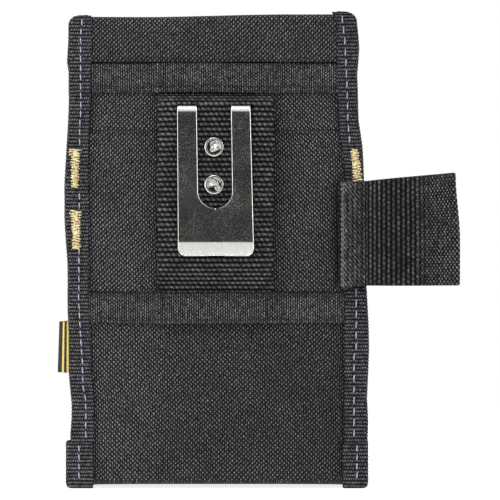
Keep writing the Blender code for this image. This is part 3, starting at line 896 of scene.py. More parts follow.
def make_tape(name, node, box, seed, drop):
    """A cross tape, ridged along both edges. drop is how far its upper edge hangs down."""
    line = tape_line(box, 470)
    grid = along_z(lambda z: line, np.linspace(box[0][2], box[1][2], 34))
    x, z = grid[..., 0], grid[..., 2]
    grid[..., 1] -= 0.1 * ripple(x, z, seed, 40, 14)
    share = (z - box[0][2]) / (box[1][2] - box[0][2])
    grid[..., 2] += 0.28 * ripple(x, 0 * z, seed + 1, 70, 30)
    grid[..., 2] -= drop * smooth(share * 4 - 3)
    grid[..., 1] += 0.18 * (bump(share, 0.12, 0.05) + bump(share, 0.88, 0.05))

    def tone(x, y, z):
        """The upper edge lies in shade, and the rest is a little darker than the cloth."""
        return 0.7 * (1 - 0.7 * np.exp(-np.maximum(box[1][2] - z, 0) / 0.7))

    made = slab(name, grid, TAPE_THICK, "tape", WEAVE_DEEP["cross"], tone=tone)
    flat = ((box[1][0] - box[0][0] + 6) * MM, TAPE_FLAT_HEIGHT)
    on_pouch(made, node, flat=flat, held="stretched", rests_on=["belt_strap", "back_cloth"])
    return grid


def make_tape_stitches():
    """Dark rows along both tapes' edges, and down both sides of the webbing."""
    dark = []

    def sew(line, lift):
        dark.extend(stitches(line + np.array([0, -lift, 0]), (0, -1, 0), *TAPE_STITCH))

    for grid, shares in ((upper_tape_grid, (0.09, 0.22)), (lower_tape_grid, (0.1, 0.9))):
        for share in shares:
            sew(grid[:, int(share * (grid.shape[1] - 1))], 0.36)
    left, right = WEBBING[0][0], WEBBING[1][0]
    for grid in (lower_tape_grid, upper_tape_grid):
        for x in (left + 0.4, left + 2.4, right - 2.0, right - 0.4):
            sew(grid[np.argmin(np.abs(grid[:, 0, 0] - x)), 2:-2], 0.38)
    on_pouch(tubes("cross_tape_stitches", dark, 0.3, "dark"))


upper_tape_grid = make_tape("upper_tape", "upper_cross_tape", UPPER_TAPE, 21, 0.6)
lower_tape_grid = make_tape("lower_tape", "lower_cross_tape", LOWER_TAPE, 25, 0.0)
make_tape_stitches()


# ---- belt webbing -----------------------------------------------------------------------

WEBBING_THICK = 1.9
WEBBING_HALF = 25.4
NEAR = BACK_FACE - 0.3 - WEBBING_THICK / 2  # where the webbing lies on the back,
FAR = WEBBING[0][1] + WEBBING_THICK / 2  # and where it stands off as the belt tunnel
SLOT_HALF = 7.8
SLOT_X = (CLIP[0][0] + CLIP[1][0]) / 2 - 0.45


def webbing_profile(count):
    """From the lower end up: flat on the back, out to the belt tunnel, and back in at the top."""
    foot = LOWER_TAPE[1][2] + 1.0
    head = UPPER_TAPE[0][2] - 0.4
    profile = [(NEAR, WEBBING[0][2])]
    profile += [(between(NEAR, FAR, smooth(t)), foot + 15.0 * t) for t in np.linspace(0, 1, 13)]
    profile += [(FAR, (foot + head) / 2)]
    profile += [(between(FAR, NEAR, smooth(t)), head - 5.4 * (1 - t)) for t in np.linspace(0, 1, 11)]
    profile += [(NEAR, WEBBING[1][2])]
    return resample(profile, count)


def webbing_cells(points):
    """Every cell but those in the two slits that the clip's prongs pass through."""
    x, z = points[..., 0], points[..., 2]
    in_slit = (z > CLIP[1][2] - 2.0) & (z < CLIP[1][2] + 0.2)
    in_prong = (np.abs(x - SLOT_X) > SLOT_HALF) & (x > CLIP[0][0]) & (x < CLIP[1][0])
    return ~(in_slit & in_prong)


def webbing_tone(x, y, z):
    """Painted shade: darker at its edges, at its ends, beside and above the clip, and inside the clip's
    slot.
    """
    from_edge = np.abs(np.abs(x - WEBBING[0][0] - WEBBING_HALF) - WEBBING_HALF)
    ends = sum(np.exp(-np.abs(z - end) / 1.4) for end in (LOWER_TAPE[1][2], UPPER_TAPE[0][2]))
    aside = np.maximum(CLIP[0][0] - x, x - CLIP[1][0])
    beside = 0.3 * fade(aside, 2.2) * (z > CLIP[0][2] - 1) * (z < CLIP[1][2] + 1)
    beside = beside + 0.22 * (aside < 0) * smooth((z - CLIP[0][2] + 4) / 8)
    above = 0.2 * smooth((z - CLIP[1][2]) / 6)
    rim = 0.25 * np.exp(-from_edge / 2.0)
    return (1 - rim) * (1 - np.minimum(0.4 * ends, 0.6)) * (1 - beside) * (1 - above)


def make_webbing():
    grid = along_x(webbing_profile(270), np.linspace(WEBBING[0][0] - 0.5, WEBBING[1][0] + 0.5, 122))
    x, z = grid[..., 0], grid[..., 2]
    centre = (WEBBING[0][0] + WEBBING[1][0]) / 2
    free = within(z, 92, 180, 12, 8)
    aside = np.abs(x - centre) / (WEBBING_HALF + 0.5)
    crown = 1 - 0.45 * aside**3 - 1.9 * aside**14
    grid[..., 1] -= free * (0.8 * crown - 0.3 + 0.12 * ripple(x, z, 31))
    grid[..., 0] = x + free * 0.25 * ripple(0 * x, z, 33, 80, 40)
    made = slab(
        "belt_strap", grid, WEBBING_THICK, "belt", WEAVE_DEEP["belt"], keep=webbing_cells, tone=webbing_tone
    )
    on_pouch(
        made, "belt_webbing", flat=(0.0508, 0.120), held="stretched", rests_on=["back_cloth"]
    )


make_webbing()


# ---- spring clip and rivets -------------------------------------------------------------

CLIP_THICK = 0.8
FRONT_Y = WEBBING[0][1] - 1.9 - CLIP_THICK / 2
REAR_Y = CLIP_BASE[1][1] - CLIP_THICK / 2
BEND_R = (REAR_Y - FRONT_Y) / 2
BEND_Y = (REAR_Y + FRONT_Y) / 2
BEND_TALL = BEND_R * 1.22
BEND_Z = CLIP[1][2] + 0.1 - BEND_TALL - CLIP_THICK / 2
LIP_LOW = 106.2
LIP_HIGH = 4.9
LIP_FLARE = 2.1  # how far the lip's edge stands out of the leaf
CHAMFER = (3.4, 3.06)  # how tall the leaf's rounded lower corners are, and how far they draw in
SLOT_LOW = 127.7
REAR_SLOT_LOW = 163.6
CLIP_LEAN = 1.0  # how far the foot of the clip stands to the right of its top
CLIP_REACH = {-1: (17.2, 16.6), 1: (17.2, 16.5)}  # from the middle to each side, at the foot and top
CLIP_STEPS, CLIP_ROUND = 16, 0.3  # columns across each half, and the outer ones' width
RIVET_RADIUS = 4.5
RIVET_TALL = 1.7
COLLAR_RADIUS = 4.3
RIVET_RINGS, RIVET_SIDES = 44, 72
CURLS, CURL_HIGH, CURL_WIDTH = 8, 0.13, 0.26


def clip_profile():
    """The clip's y and z from its lip up the front leaf, over the bends and down the rear leaf."""
    points = []
    for share in (0, 0.015, *np.linspace(0.07, 1, 14)):
        points.append((FRONT_Y - LIP_FLARE * (1 - share) ** 1.35, LIP_LOW + (LIP_HIGH + 1.6) * share))
    slot_centre = SLOT_LOW + SLOT_HALF
    leaf = list(np.linspace(LIP_LOW + LIP_HIGH + 2.6, SLOT_LOW - 0.6, 10))
    leaf += [slot_centre - SLOT_HALF * math.cos(t) for t in np.linspace(0, math.pi / 2, 26)]
    leaf += list(np.linspace(slot_centre + 1.5, BEND_Z, 22))
    points += [(FRONT_Y, z) for z in leaf]
    for turn in np.linspace(0, math.pi, 21)[1:]:
        points.append((BEND_Y - BEND_R * math.cos(turn), BEND_Z + BEND_TALL * math.sin(turn)))
    points += [(REAR_Y, z) for z in np.linspace(BEND_Z, CLIP_BASE[0][2], 24)[1:]]
    return np.array(points)


def clip_half(side):
    """One half of the clip, from its outer edge to the slot's edge or the middle line, and for
    each height whether it meets the other half there."""
    profile = clip_profile()
    over = np.argmax(profile[:, 1])
    grid, meets = [], []
    for i, (y, z) in enumerate(profile):
        rise = (z - LIP_LOW) / (CLIP[1][2] - LIP_LOW)
        outer = between(*CLIP_REACH[side], rise)
        shift = SLOT_X + CLIP_LEAN * (1 - rise)
        inner = 0.0
        if i > over:
            inner = SLOT_HALF if z > REAR_SLOT_LOW else 0.0
        else:
            outer -= draw_in(z - LIP_LOW, *CHAMFER)
            if z >= SLOT_LOW - 1e-6:
                up = min(z - SLOT_LOW, SLOT_HALF)
                inner = math.sqrt(max(SLOT_HALF**2 - (SLOT_HALF - up) ** 2, 0))
        meets.append(inner < 1e-6)
        reach = [inner, *np.linspace(inner + CLIP_ROUND, outer - CLIP_ROUND, CLIP_STEPS), outer]
        grid.append([(shift + side * r, y, z) for r in reach])
    return np.array(grid).transpose(1, 0, 2)[::-1], meets


def make_clip():
    """Both halves welded along the middle, so that the clip is one bent strip with its slots."""
    halves = []
    for side in SIDES:
        grid, meets = clip_half(side)
        mirror = np.array([-side, 1, 1])  # a right half is made as a left one and turned over
        half = slab("spring_clip", grid * mirror, CLIP_THICK, "steel", open_u=meets)
        if side > 0:
            for vertex in half.data.vertices:
                vertex.co.x = -vertex.co.x
            half.data.flip_normals()
        halves.append(half)
    clip, other = halves
    whole = bmesh.new()
    for half in halves:
        whole.from_mesh(half.data)
    bmesh.ops.remove_doubles(whole, verts=whole.verts, dist=0.00002)
    whole.to_mesh(clip.data)
    whole.free()
    bpy.data.objects.remove(other)
    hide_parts("clip_arm", "clip_base")
    start = (0, (REAR_Y - CLIP_THICK / 2) * MM, BEND_Z * MM)
    end = (0, (FRONT_Y + CLIP_THICK / 2) * MM, BEND_Z * MM)
    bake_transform(clip)


def rivet_height(a, b, seed):
    """How high the peened face stands at a, b from its middle: a flat with curls of moved metal."""
    r = np.hypot(a, b)
    bevel = 0.5 * (1 + 0.9 * np.maximum(np.cos(np.arctan2(b, a) + 2.2), 0))
    over = np.clip((r - RIVET_RADIUS + bevel) / bevel, 0, 1)
    height = RIVET_TALL - 1.1 * (1 - np.sqrt(np.maximum(1 - over**2, 0)))
    random = np.random.default_rng(seed)
    for _ in range(CURLS):
        centre = random.uniform(-1.9, 1.9, 2)
        radius, turn = random.uniform(0.5, 1.15), random.uniform(0, 2 * math.pi)
        away = np.hypot(a - centre[0], b - centre[1])
        part = 0.35 + 0.65 * np.cos(np.arctan2(b - centre[1], a - centre[0]) - turn) ** 2
        height = height + CURL_HIGH * part * bump(away, radius, CURL_WIDTH)
    return height - 0.05 * bump(r, RIVET_RADIUS * 0.78, 0.22) + 0.012 * ripple(a, b, seed, 3.0, 1.2)


def make_rivet(name, node, seed):
    """A peened head over a short collar."""
    low, high = node_box(node)
    x, z = (low[0] + high[0]) / 2, (low[2] + high[2]) / 2
    base_y = WEBBING[0][1] - 0.1
    rings, sides = RIVET_RINGS, RIVET_SIDES
    turns = np.linspace(0, 2 * math.pi, sides, endpoint=False)
    points, faces, uvs = [], [], []
    for i in range(rings):
        wide = RIVET_RADIUS * (1 - i / (rings - 1)) ** 0.8
        rag = 1 + 0.008 * np.sin(3 * turns + seed) + 0.005 * np.sin(7 * turns)
        a, b = wide * rag * np.cos(turns), wide * rag * np.sin(turns)
        points += list(zip(x + a, base_y - rivet_height(a, b, seed), z + b))
        uvs += list(zip(a, b))
    for turn in turns:
        a, b = COLLAR_RADIUS * math.cos(turn), COLLAR_RADIUS * math.sin(turn)
        points.append((x + a, base_y + 0.5, z + b))
        uvs.append((RIVET_RADIUS, 0))
    for k in range(sides):
        after = (k + 1) % sides
        for i in range(0, (rings - 1) * sides, sides):
            faces.append((i + k, i + k + sides, i + after + sides, i + after))
        faces.append((rings * sides + k, k, after, rings * sides + after))
    on_pouch(make_piece(name, points, faces, uvs, "rivet"), node)


make_clip()
make_rivet("rivet_head_upper", "clip_rivet_upper", 4)
make_rivet("rivet_head_lower", "clip_rivet_lower", 9)


# ---- edge bindings ----------------------------------------------------------------------

BINDING_THICK = 0.9
BINDING_STEP = 0.3
INNER_LEG = 5.8
# The tape's top end is turned in over the fold, in rows that come closer to the middle.
LID_ROWS, LID_STEP, LID_WIDTH = 8, 0.02, 3.5
CORNER_REACH = {-1: 0.8, 1: -0.9}
CORNER_INNER_EDGE = 57.3
CORNER_STITCH_X = 63.5
# The binding rises to pass over the hem, and over the ends of the lower tape: how far, and where.
OVER_HEM, HEM_STARTS = 1.05, 179.0
OVER_TAPE, TAPE_ENDS = 0.85, (73.0, 92.0)


def folded_line(side, reach, leg, outer, inner, count, inner_leg=INNER_LEG):
    """Plan of a tape folded round the seam, from its outer hem round the edge to its inner hem."""
    bend = 2.2 - BINDING_THICK / 2
    middle = reach - BINDING_THICK / 2
    path = [(middle - bend - leg + 2.2, outer)]
    path += arc((middle - bend, outer + bend), bend, -90, 0, 8)
    path += arc((middle - bend, inner - bend), bend, 0, 90, 8)
    path += [(reach - inner_leg, inner)]
    return resample([(side * x, y) for x, y in path], count)


def binding_tone(x, y, z):
    """Painted shade: the right one is darker, most of all beside the loop's tail."""
    by_tail = 0.8 * beside_tail(z) * (x > 50) * np.exp(-np.abs(ANCHOR[0][0] - x) / 2.2)
    return np.where(x > 0, 0.66, 0.80) * (1 - by_tail)


def bind(kind, side, line, heights, width):
    """A folded tape from its plan lines, in place of its CAD node."""
    node = f"{SIDES[side]}_{'corner_' if kind == 'corner' else ''}binding"
    low, high = node_box(node)
    grid = along_z(line, heights)
    name = f"{SIDES[side]}_{kind}_tape"
    made = slab(
        name, grid, BINDING_THICK, "binding", WEAVE_DEEP["binding"], flip=side < 0, tone=binding_tone
    )
    flat = (width, (high[2] - low[2]) * MM)
    on_pouch(made, node, flat=flat, held="folded", rests_on=["back_cloth"])
    return line


def make_binding(side):
    """The long edge tape, which rises over the hem and over the lower tape's end."""
    outer = BINDING[0][1] + BINDING_THICK / 2
    inner = BINDING[1][1] - BINDING_THICK / 2
    top = BINDING_TOP[side]
    heights = np.arange(BINDING[0][2], top - 0.1, BINDING_STEP)

    def line(z):
        shut = max(z - top, 0) / LID_STEP * LID_WIDTH / (LID_ROWS - 1)
        over = z - (top - TOP_CORNER)
        pull = TOP_CORNER - math.sqrt(max(TOP_CORNER**2 - over**2, 0.3)) if over > 0 else 0.0
        lift = OVER_HEM * smooth((z - HEM_STARTS) / 3.0) + OVER_TAPE * within(z, *TAPE_ENDS, 2.5, 2.5)
        reach = edge(side, z) + 0.14 * ripple(z, 0.0, 40 + side, 60, 22) - pull - shut
        leg = reach - read(INNER_EDGE[side], z)
        return folded_line(side, reach, leg, outer - lift, inner, 52, INNER_LEG - shut)

    lid = top + LID_STEP * np.arange(LID_ROWS)
    return bind("edge", side, line, np.concatenate([heights, lid]), 0.0262)


def make_corner_binding(side):
    low, high = node_box(f"{SIDES[side]}_corner_binding")
    outer = low[1] + BINDING_THICK / 2
    inner = high[1] - BINDING_THICK / 2
    reach = max(abs(low[0]), abs(high[0])) + CORNER_REACH[side]

    def line(z):
        pull = draw_in(z - low[2], 3.0, 1.76)
        leg = reach - CORNER_INNER_EDGE - pull - draw_in(high[2] + 0.2 - z, 2.4, 1.12)
        return folded_line(side, reach - pull, leg, outer, inner, 58)

    heights = np.arange(low[2] + BINDING_STEP, high[2] + BINDING_STEP, BINDING_STEP)
    return bind("corner", side, line, heights, 0.0290)


def make_binding_stitches(side):
    """The pale lockstitch down the tapes, on the belt side and on the pocket side, left out
    where a bartack lies over it."""
    front, rear, corner = [], [], []
    for z in np.linspace(BINDING_TOP[side] - 0.8, BINDING[0][2] + 1, 160):
        line = binding_lines[side](z)
        front.append((side * read(STITCH_LINE[side], z), line[0][1] - BINDING_THICK / 2, z))
        rear.append((side * (edge(side, z) - 4.4), line[-1][1] + BINDING_THICK / 2, z))
    for z in np.linspace(CORNER[1][2] - 0.6, CORNER[0][2] + 1.2, 20):
        line = corner_lines[side](z)
        corner.append((side * CORNER_STITCH_X, line[0][1] - BINDING_THICK / 2, z))
    lean = side * 0.2
    runs = stitches(front, (0, -1, 0), *BINDING_STITCH[side], lean)
    bars = [node_box(f"bartack_{SIDES[side]}_{part}") for part in ("upper", "lower")]
    runs = [run for run in runs if not any(b[0][2] - 1 < run[2][2] < b[1][2] + 1 for b in bars)]
    runs += stitches(rear, (0, 1, 0), *REAR_STITCH, 0.2)
    runs += stitches(corner, (0, -1, 0), *CORNER_STITCH, lean)
    on_pouch(tubes(f"{SIDES[side]}_edge_stitches", runs, 0.31, "pale"))


binding_lines = {side: make_binding(side) for side in SIDES}
corner_lines = {side: make_corner_binding(side) for side in SIDES}
for side in SIDES:
    make_binding_stitches(side)


# ---- side loop --------------------------------------------------------------------------

LOOP_INNER = ANCHOR[1][1] - WEBBING_THICK / 2
LOOP_OUTER = ANCHOR[0][1] + WEBBING_THICK / 2
LOOP_MIDDLE = (LOOP_INNER + LOOP_OUTER) / 2
HINGE_X = frame["joints"][1]["pos_m"][0] / MM
LOOP_TIP_RADIUS = 1.9
LOOP_SWELL = (6.2, 1.0)  # how far the ring stands out on the belt side and on the pocket side
# The loop's painted shade at each x: dim over the tail, darkest past the crease, lighter at the tip.
LOOP_PAINTED_SHADE = (
    (56, 0.45), (59, 0.64), (71, 0.46), (76, 0.30), (84, 0.30), (92, 0.40), (100, 0.64), (110, 0.7),
)
LOOP_ROWS = (64.8, 0.5), (60.9, 0.8)  # each seam's x, and where in its pitch its stitches start


def loop_line():
    """Plan of the flattened ring: out along the belt side, round the tip, back and round the tail."""
    fold = (LOOP_INNER - LOOP_OUTER) / 2
    tail = ANCHOR[0][0] + WEBBING_THICK / 2 + fold
    reach = LOOP[1][0] - WEBBING_THICK / 2 - LOOP_TIP_RADIUS
    start = HINGE_X - 0.2

    def run(sewn, direction, bulge):
        """From the sewn end to the tip on one side of the ring."""
        tip = LOOP_MIDDLE + direction * LOOP_TIP_RADIUS
        for share in np.linspace(0, 1, 25):
            swell = math.sin(math.pi * share**0.62) ** 1.3
            yield between(start, reach, share), between(sewn, tip, share) + direction * bulge * swell

    path = [(tail, LOOP_OUTER), (start - 3, LOOP_OUTER), *run(LOOP_OUTER, -1, LOOP_SWELL[0])]
    path += arc((reach, LOOP_MIDDLE), LOOP_TIP_RADIUS, -80, 80, 12)
    path += list(run(LOOP_INNER, 1, LOOP_SWELL[1]))[::-1]
    path += [(start - 3, LOOP_INNER), (tail, LOOP_INNER)]
    path += arc((tail, LOOP_MIDDLE), fold, 90, 270, 10)[1:-1]
    return resample(path + path[:1], 277)[:-1]


def loop_tone(x, y, z):
    """Painted shade, dark at the crease, and a painted highlight over 1 along the tail's fold, where a
    column of beads catches light.
    """
    fold = 3.5 * bump(x, ANCHOR[0][0] + 1.8, 0.45) * (y < LOOP_MIDDLE)
    crease = 0.55 * bump(x, HINGE_X + 0.2, 0.7)
    return read(LOOP_PAINTED_SHADE, x) * (1 - crease) + fold


def make_loop():
    """The ring of webbing, whose upper edge rises towards the tip. It swells out from the hinge line."""
    x, y = loop_line().T
    out = np.clip((x - HINGE_X) / (LOOP[1][0] - HINGE_X), 0, 1)
    on_tail = 1 - smooth((x - 55) / 14)
    low = LOOP[0][2] - 0.2 - 1.3 * on_tail
    high = LOOP[1][2] - 1.5 - 0.5 * on_tail + 3.9 * out
    rows = []
    for share in np.linspace(0, 1, 104):
        z = between(low, high, share)
        lean = smooth((z - 113) / 30) * out**3
        rows.append(np.column_stack([x - 2.1 * lean, y - 0.5 * np.sin(math.pi * share) * out, z]))
    grid = np.stack(rows, 1)
    grid[..., 1] -= 0.2 * ripple(grid[..., 0], grid[..., 2], 51) * smooth((grid[..., 0] - 70) / 8)
    made = slab(
        "side_loop_strap", grid, WEBBING_THICK, "loop", WEAVE_DEEP["loop"], ring=True, tone=loop_tone
    )
    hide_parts("side_loop", "side_loop_anchor")
    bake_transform(made)


def make_loop_stitches():
    """The two dark rows that hold the loop's fixed end."""
    face = ANCHOR[0][1] + 0.05
    heights = np.linspace(LOOP[1][2] - 2.6, LOOP[0][2] + 0.2, 60)
    dark = []
    for x, first in LOOP_ROWS:
        dark += stitches([(x, face, z) for z in heights], (0, -1, 0), *LOOP_STITCH, start=first)
    on_pouch(tubes("loop_seam_stitches", dark, 0.3, "dark"))


make_loop()
make_loop_stitches()


# ---- bartacks ---------------------------------------------------------------------------

FLARE_END = 0.13  # the first passes of a bartack may reach out further, down to this share
STRAY = (-0.4, 0.5)
# A pass of the zigzag: how far across it each point is, and how high it stands.
PASS_SHAPE = ((0.0, 0.0), (0.1, 0.42), (0.36, 0.64), (0.64, 0.64), (0.9, 0.42), (1.0, 0.0))
LAID_THREADS = (0.22, 0.5, 0.78)
# Each bar: its side, its height, the left and right x at its top and then at its bottom, and flare.
BARS = (
    ("left_upper", (-66.9, -63.4), (-66.7, -64.0), 1.1),
    ("left_lower", (-66.7, -63.3), (-66.0, -63.3), 0.9),
    ("right_upper", (60.9, 63.7), (62.6, 66.2), 0.0),
    ("right_lower", (61.9, 65.6), (61.9, 65.6), 0.0),
)


def make_bartack(label, node, face, top, bottom, seed, outward=-1, pitch=0.6, radius=0.36, flare=0.0):
    """A close zigzag of gold thread over a few laid threads, between the left and right x at the
    top and at the bottom."""
    low, high = (corner[2] for corner in node_box(node))
    random = np.random.default_rng(seed)
    count = int((high - low) / pitch)
    line = []
    for i in range(count + 1):
        share = i / count
        z = between(high, low, share)
        left = between(top[0], bottom[0], share) - random.uniform(*STRAY)
        right = between(top[1], bottom[1], share) + random.uniform(*STRAY)
        if share < FLARE_END:
            left, right = left - flare, right + 0.3 * flare
        ends = (left, right) if i % 2 == 0 else (right, left)
        lift = random.uniform(0.0, 0.7)
        for part, rise in PASS_SHAPE:
            y = face + outward * (rise * (1 + lift) + random.uniform(-0.1, 0.1))
            drop = pitch * (part + random.uniform(-0.5, 0.5))
            line.append((between(*ends, part), y, z - drop))
    runs = [line]
    for share in LAID_THREADS:
        start, end = between(*top, share), between(*bottom, share)
        middle = (start + end) / 2 + random.uniform(-0.2, 0.2)
        halfway = (middle, face + outward * 0.1, (high + low) / 2)
        runs.append([(start, face, high), halfway, (end, face, low)])
    on_pouch(tubes(f"gold_bar_{label}", runs, radius, "gold"), node)


for seed, (label, top, bottom, flare) in enumerate(BARS, 1):
    make_bartack(label, f"bartack_{label}", BINDING[0][1], top, bottom, seed, flare=flare)


# ---- pockets ----------------------------------------------------------------------------

POCKET_THICK = 1.1
POCKET_CORNER = 9.0
SPACING = 2.45  # from the main pocket's front to the front pocket's
DIVIDER_X = 19.5
BULGE = 7.2
MAIN_BASE_Y = 8.4
MAIN_MOUTH_Y = 5.6
# For each pocket: its box, how far its wall stands in from the edge, and its grid's points. Then
# its ripples' seed, the pressure inside it, and how far the cloth may move.
POCKETS = {
    "main": (MAIN, 9.4, 122, 62, 61, 0.9, 1.3),
    "front": (FRONT, 6.95, 150, 56, 67, 2.2, 2.4),
}
CLOTH_GRAVITY = 0.6
MOUTH_TAPE_TALL, MOUTH_TAPE_THICK = 10.5, 0.7


def pocket_line(z, wall, flange, front, corner, count):
    """Plan of a pocket from its left seam, along the wall and the front, to its right seam."""
    halves = []
    for side in SIDES:
        far = edge(side, z)
        wall_x = far - wall
        path = [(far - SEAM_INSET, flange)]
        path += arc((wall_x + 1.2, flange + 1.2), 1.2, 270, 180, 5)
        path += arc((wall_x - corner, front - corner), corner, 0, 90, 12)
        path += [(0.0, front)]
        halves.append([(side * x, y) for x, y in path])
    return resample(halves[0] + halves[1][-2::-1], count)


def cell_bulge(x, z):
    """How far the three cells of the front pocket stand off: nothing at the stitched dividers."""
    total = 0 * x
    edges = (-56.0, -DIVIDER_X, DIVIDER_X, 56.0)
    for low, high in zip(edges, edges[1:]):
        inside = (x >= low) & (x <= high)
        across = np.sin(math.pi * np.clip((x - low) / (high - low), 0, 1)) ** 0.8
        foot = 0.25 + 0.75 * smooth(z / 34)
        total = total + inside * BULGE * across * foot * (1 - 0.22 * z / FRONT[1][2])
    return total


def pocket_grid(kind):
    box, wall, count_u, count_v, *_ = POCKETS[kind]
    flange = box[0][1] + POCKET_THICK / 2

    def line(z):
        front = between(MAIN_BASE_Y, MAIN_MOUTH_Y, z / MAIN[1][2])
        if kind == "main":
            return pocket_line(z, wall, flange, front, POCKET_CORNER, count_u)
        front, corner = front + SPACING, POCKET_CORNER + SPACING
        points = pocket_line(z, wall, flange, front, corner, count_u)
        on_front = smooth((points[:, 1] - front + corner * 0.7) / (corner * 0.6))
        points[:, 1] += cell_bulge(points[:, 0], z) * on_front
        return points

    return along_z(line, np.linspace(box[0][2], box[1][2], count_v))


def drape(grid, kind):
    *_, seed, pressure, cap = POCKETS[kind]
    x, z = grid[..., 0], grid[..., 2]
    from_seam = np.minimum(np.arange(len(x)), np.arange(len(x))[::-1])[:, None] + 0 * x
    held = (from_seam <= 3) | (z <= z.min() + 3.2)
    free = smooth((from_seam - 3) / 10) * smooth((z - z.min()) / 14)
    if kind == "front":
        at_divider = np.abs(np.abs(x) - DIVIDER_X)
        on_face = grid[..., 1] > 2
        held |= on_face & (at_divider < 0.9) & (z < z.max() - 2)
        free = free * (1 - on_face * bump(at_divider, 0, 3.0))
    wave = 0.55 * ripple(x, z * 0.8, seed, 55, 20) * free
    shaped = grid + unit(np.cross(*slopes(grid, False))) * wave[..., None]
    return simulate(shaped, held, pressure, CLOTH_GRAVITY, cap)


def refine(grid):
    """The same surface with a point more between each two, on a smooth curve through them."""
    for axis in (0, 1):
        count = grid.shape[axis]
        new = np.linspace(0, count - 1, 2 * count - 1)
        low = np.clip(np.floor(new).astype(int), 0, count - 2)
        t = (new - low).reshape([-1, 1, 1] if axis == 0 else [1, -1, 1])
        before, first, second, after = (
            np.take(grid, np.clip(low + shift, 0, count - 1), axis) for shift in (-1, 0, 1, 2)
        )
        t2, t3 = t * t, t * t * t
        grid = (
            first * (2 * t3 - 3 * t2 + 1)
            + (second - before) / 2 * (t3 - 2 * t2 + t)
            + second * (3 * t2 - 2 * t3)
            + (after - first) / 2 * (t3 - t2)
        )
    return grid


def row_at(grid, z):
    """The plan line of a pocket's surface at one height."""
    line = []
    for column in grid:
        column = column[np.argsort(column[:, 2])]
        line.append([np.interp(z, column[:, 2], column[:, k]) for k in (0, 1)])
    return np.array(line)


def outward_of(line):
    along = unit(np.gradient(line, axis=0))
    return np.column_stack([-along[:, 1], along[:, 0]])


def make_mouth_tape(kind, grid):
    """Tape folded over a pocket's mouth, following the shaped cloth on both of its sides."""
    mouth = POCKETS[kind][0][1][2]
    far = POCKET_THICK / 2 + 0.12 + MOUTH_TAPE_THICK / 2
    outer = [(far, mouth - MOUTH_TAPE_TALL), (far, mouth - 1.0)]
    over = [(far * math.cos(t), mouth + far * math.sin(t) * 0.9) for t in np.linspace(0, math.pi, 11)]
    inner = [(-distance, z) for distance, z in outer[::-1]]
    columns = []
    for distance, z in resample(outer + over + inner, 74):
        line = row_at(grid, min(z, mouth))
        if not columns:
            free = np.where(line[:, 1] > BACK_FACE + 9.9)[0]
        moved = line + outward_of(line) * distance
        kept = resample(moved[free[0] : free[-1] + 1], 420)
        columns.append(np.column_stack([kept, np.full(len(kept), z)]))
    made_grid = np.stack(columns, 1)
    made = slab(f"{kind}_mouth_tape", made_grid, MOUTH_TAPE_THICK, "tape", WEAVE_DEEP["mouth"], flip=True)
    flat = (0.0235, travel(made_grid[:, 0])[-1] * MM)
    cloth = f"{kind}_pocket_cloth"
    on_pouch(made, f"{kind}_pocket_tape", flat=flat, held="folded", rests_on=[cloth])
    return made_grid


def make_pocket_stitches():
    """Pale rows along the mouth tapes and down the dividers of the front pocket."""
    runs = []
    for grid in (main_tape_grid, front_tape_grid):
        for column in (4, 24):
            line = grid[:, column]
            side = outward_of(line[:, :2])
            normal = np.column_stack([side, 0 * side[:, 0]])
            runs += stitches(line + normal * 0.34, normal, *MOUTH_STITCH)
    for x in (-DIVIDER_X, DIVIDER_X):
        for shift in (-0.9, 0.9):
            line = []
            for z in np.linspace(FRONT[1][2] - 12, FRONT[0][2] + 2, 60):
                row = row_at(front_grid, z)
                near = row[np.argmin(np.abs(row[:, 0] - x - shift) + 50 * (row[:, 1] < 2))]
                line.append((x + shift, near[1] + POCKET_THICK / 2, z))
            runs += stitches(line, (0, 1, 0), *DIVIDER_STITCH)
    on_pouch(tubes("pocket_stitches", runs, 0.32, "pale"))


main_grid = refine(drape(pocket_grid("main"), "main"))
front_grid = refine(drape(pocket_grid("front"), "front"))
main_cloth = slab("main_pocket_cloth", main_grid, POCKET_THICK, "front_cloth", flip=True)
on_pouch(
    main_cloth, "main_pocket", flat=(0.158, 0.153), held="stretched", rests_on=["bottom_panel"]
)
front_cloth = slab("front_pocket_cloth", front_grid, POCKET_THICK, "front_cloth", flip=True)
under = ["bottom_panel", "main_pocket_cloth"]
on_pouch(front_cloth, "front_pocket", flat=(0.172, 0.125), held="gathered", rests_on=under)
main_tape_grid = make_mouth_tape("main", main_grid)
front_tape_grid = make_mouth_tape("front", front_grid)
make_pocket_stitches()

for seed, side in enumerate(SIDES, 5):
    x = side * DIVIDER_X
    face = front_tape_grid[np.argmin(np.abs(front_tape_grid[:, 0, 0] - x)), 10, 1] + 0.35
    ends = (x - 1.3, x + 1.3)
    label, node = f"divider_{SIDES[side]}", f"divider_bartack_{SIDES[side]}"
    make_bartack(label, node, face, ends, ends, seed, outward=1, pitch=0.4, radius=0.22)


# ---- bottom panel and label -------------------------------------------------------------

LABEL_THICK = 0.4
LABEL_BEND = 0.24


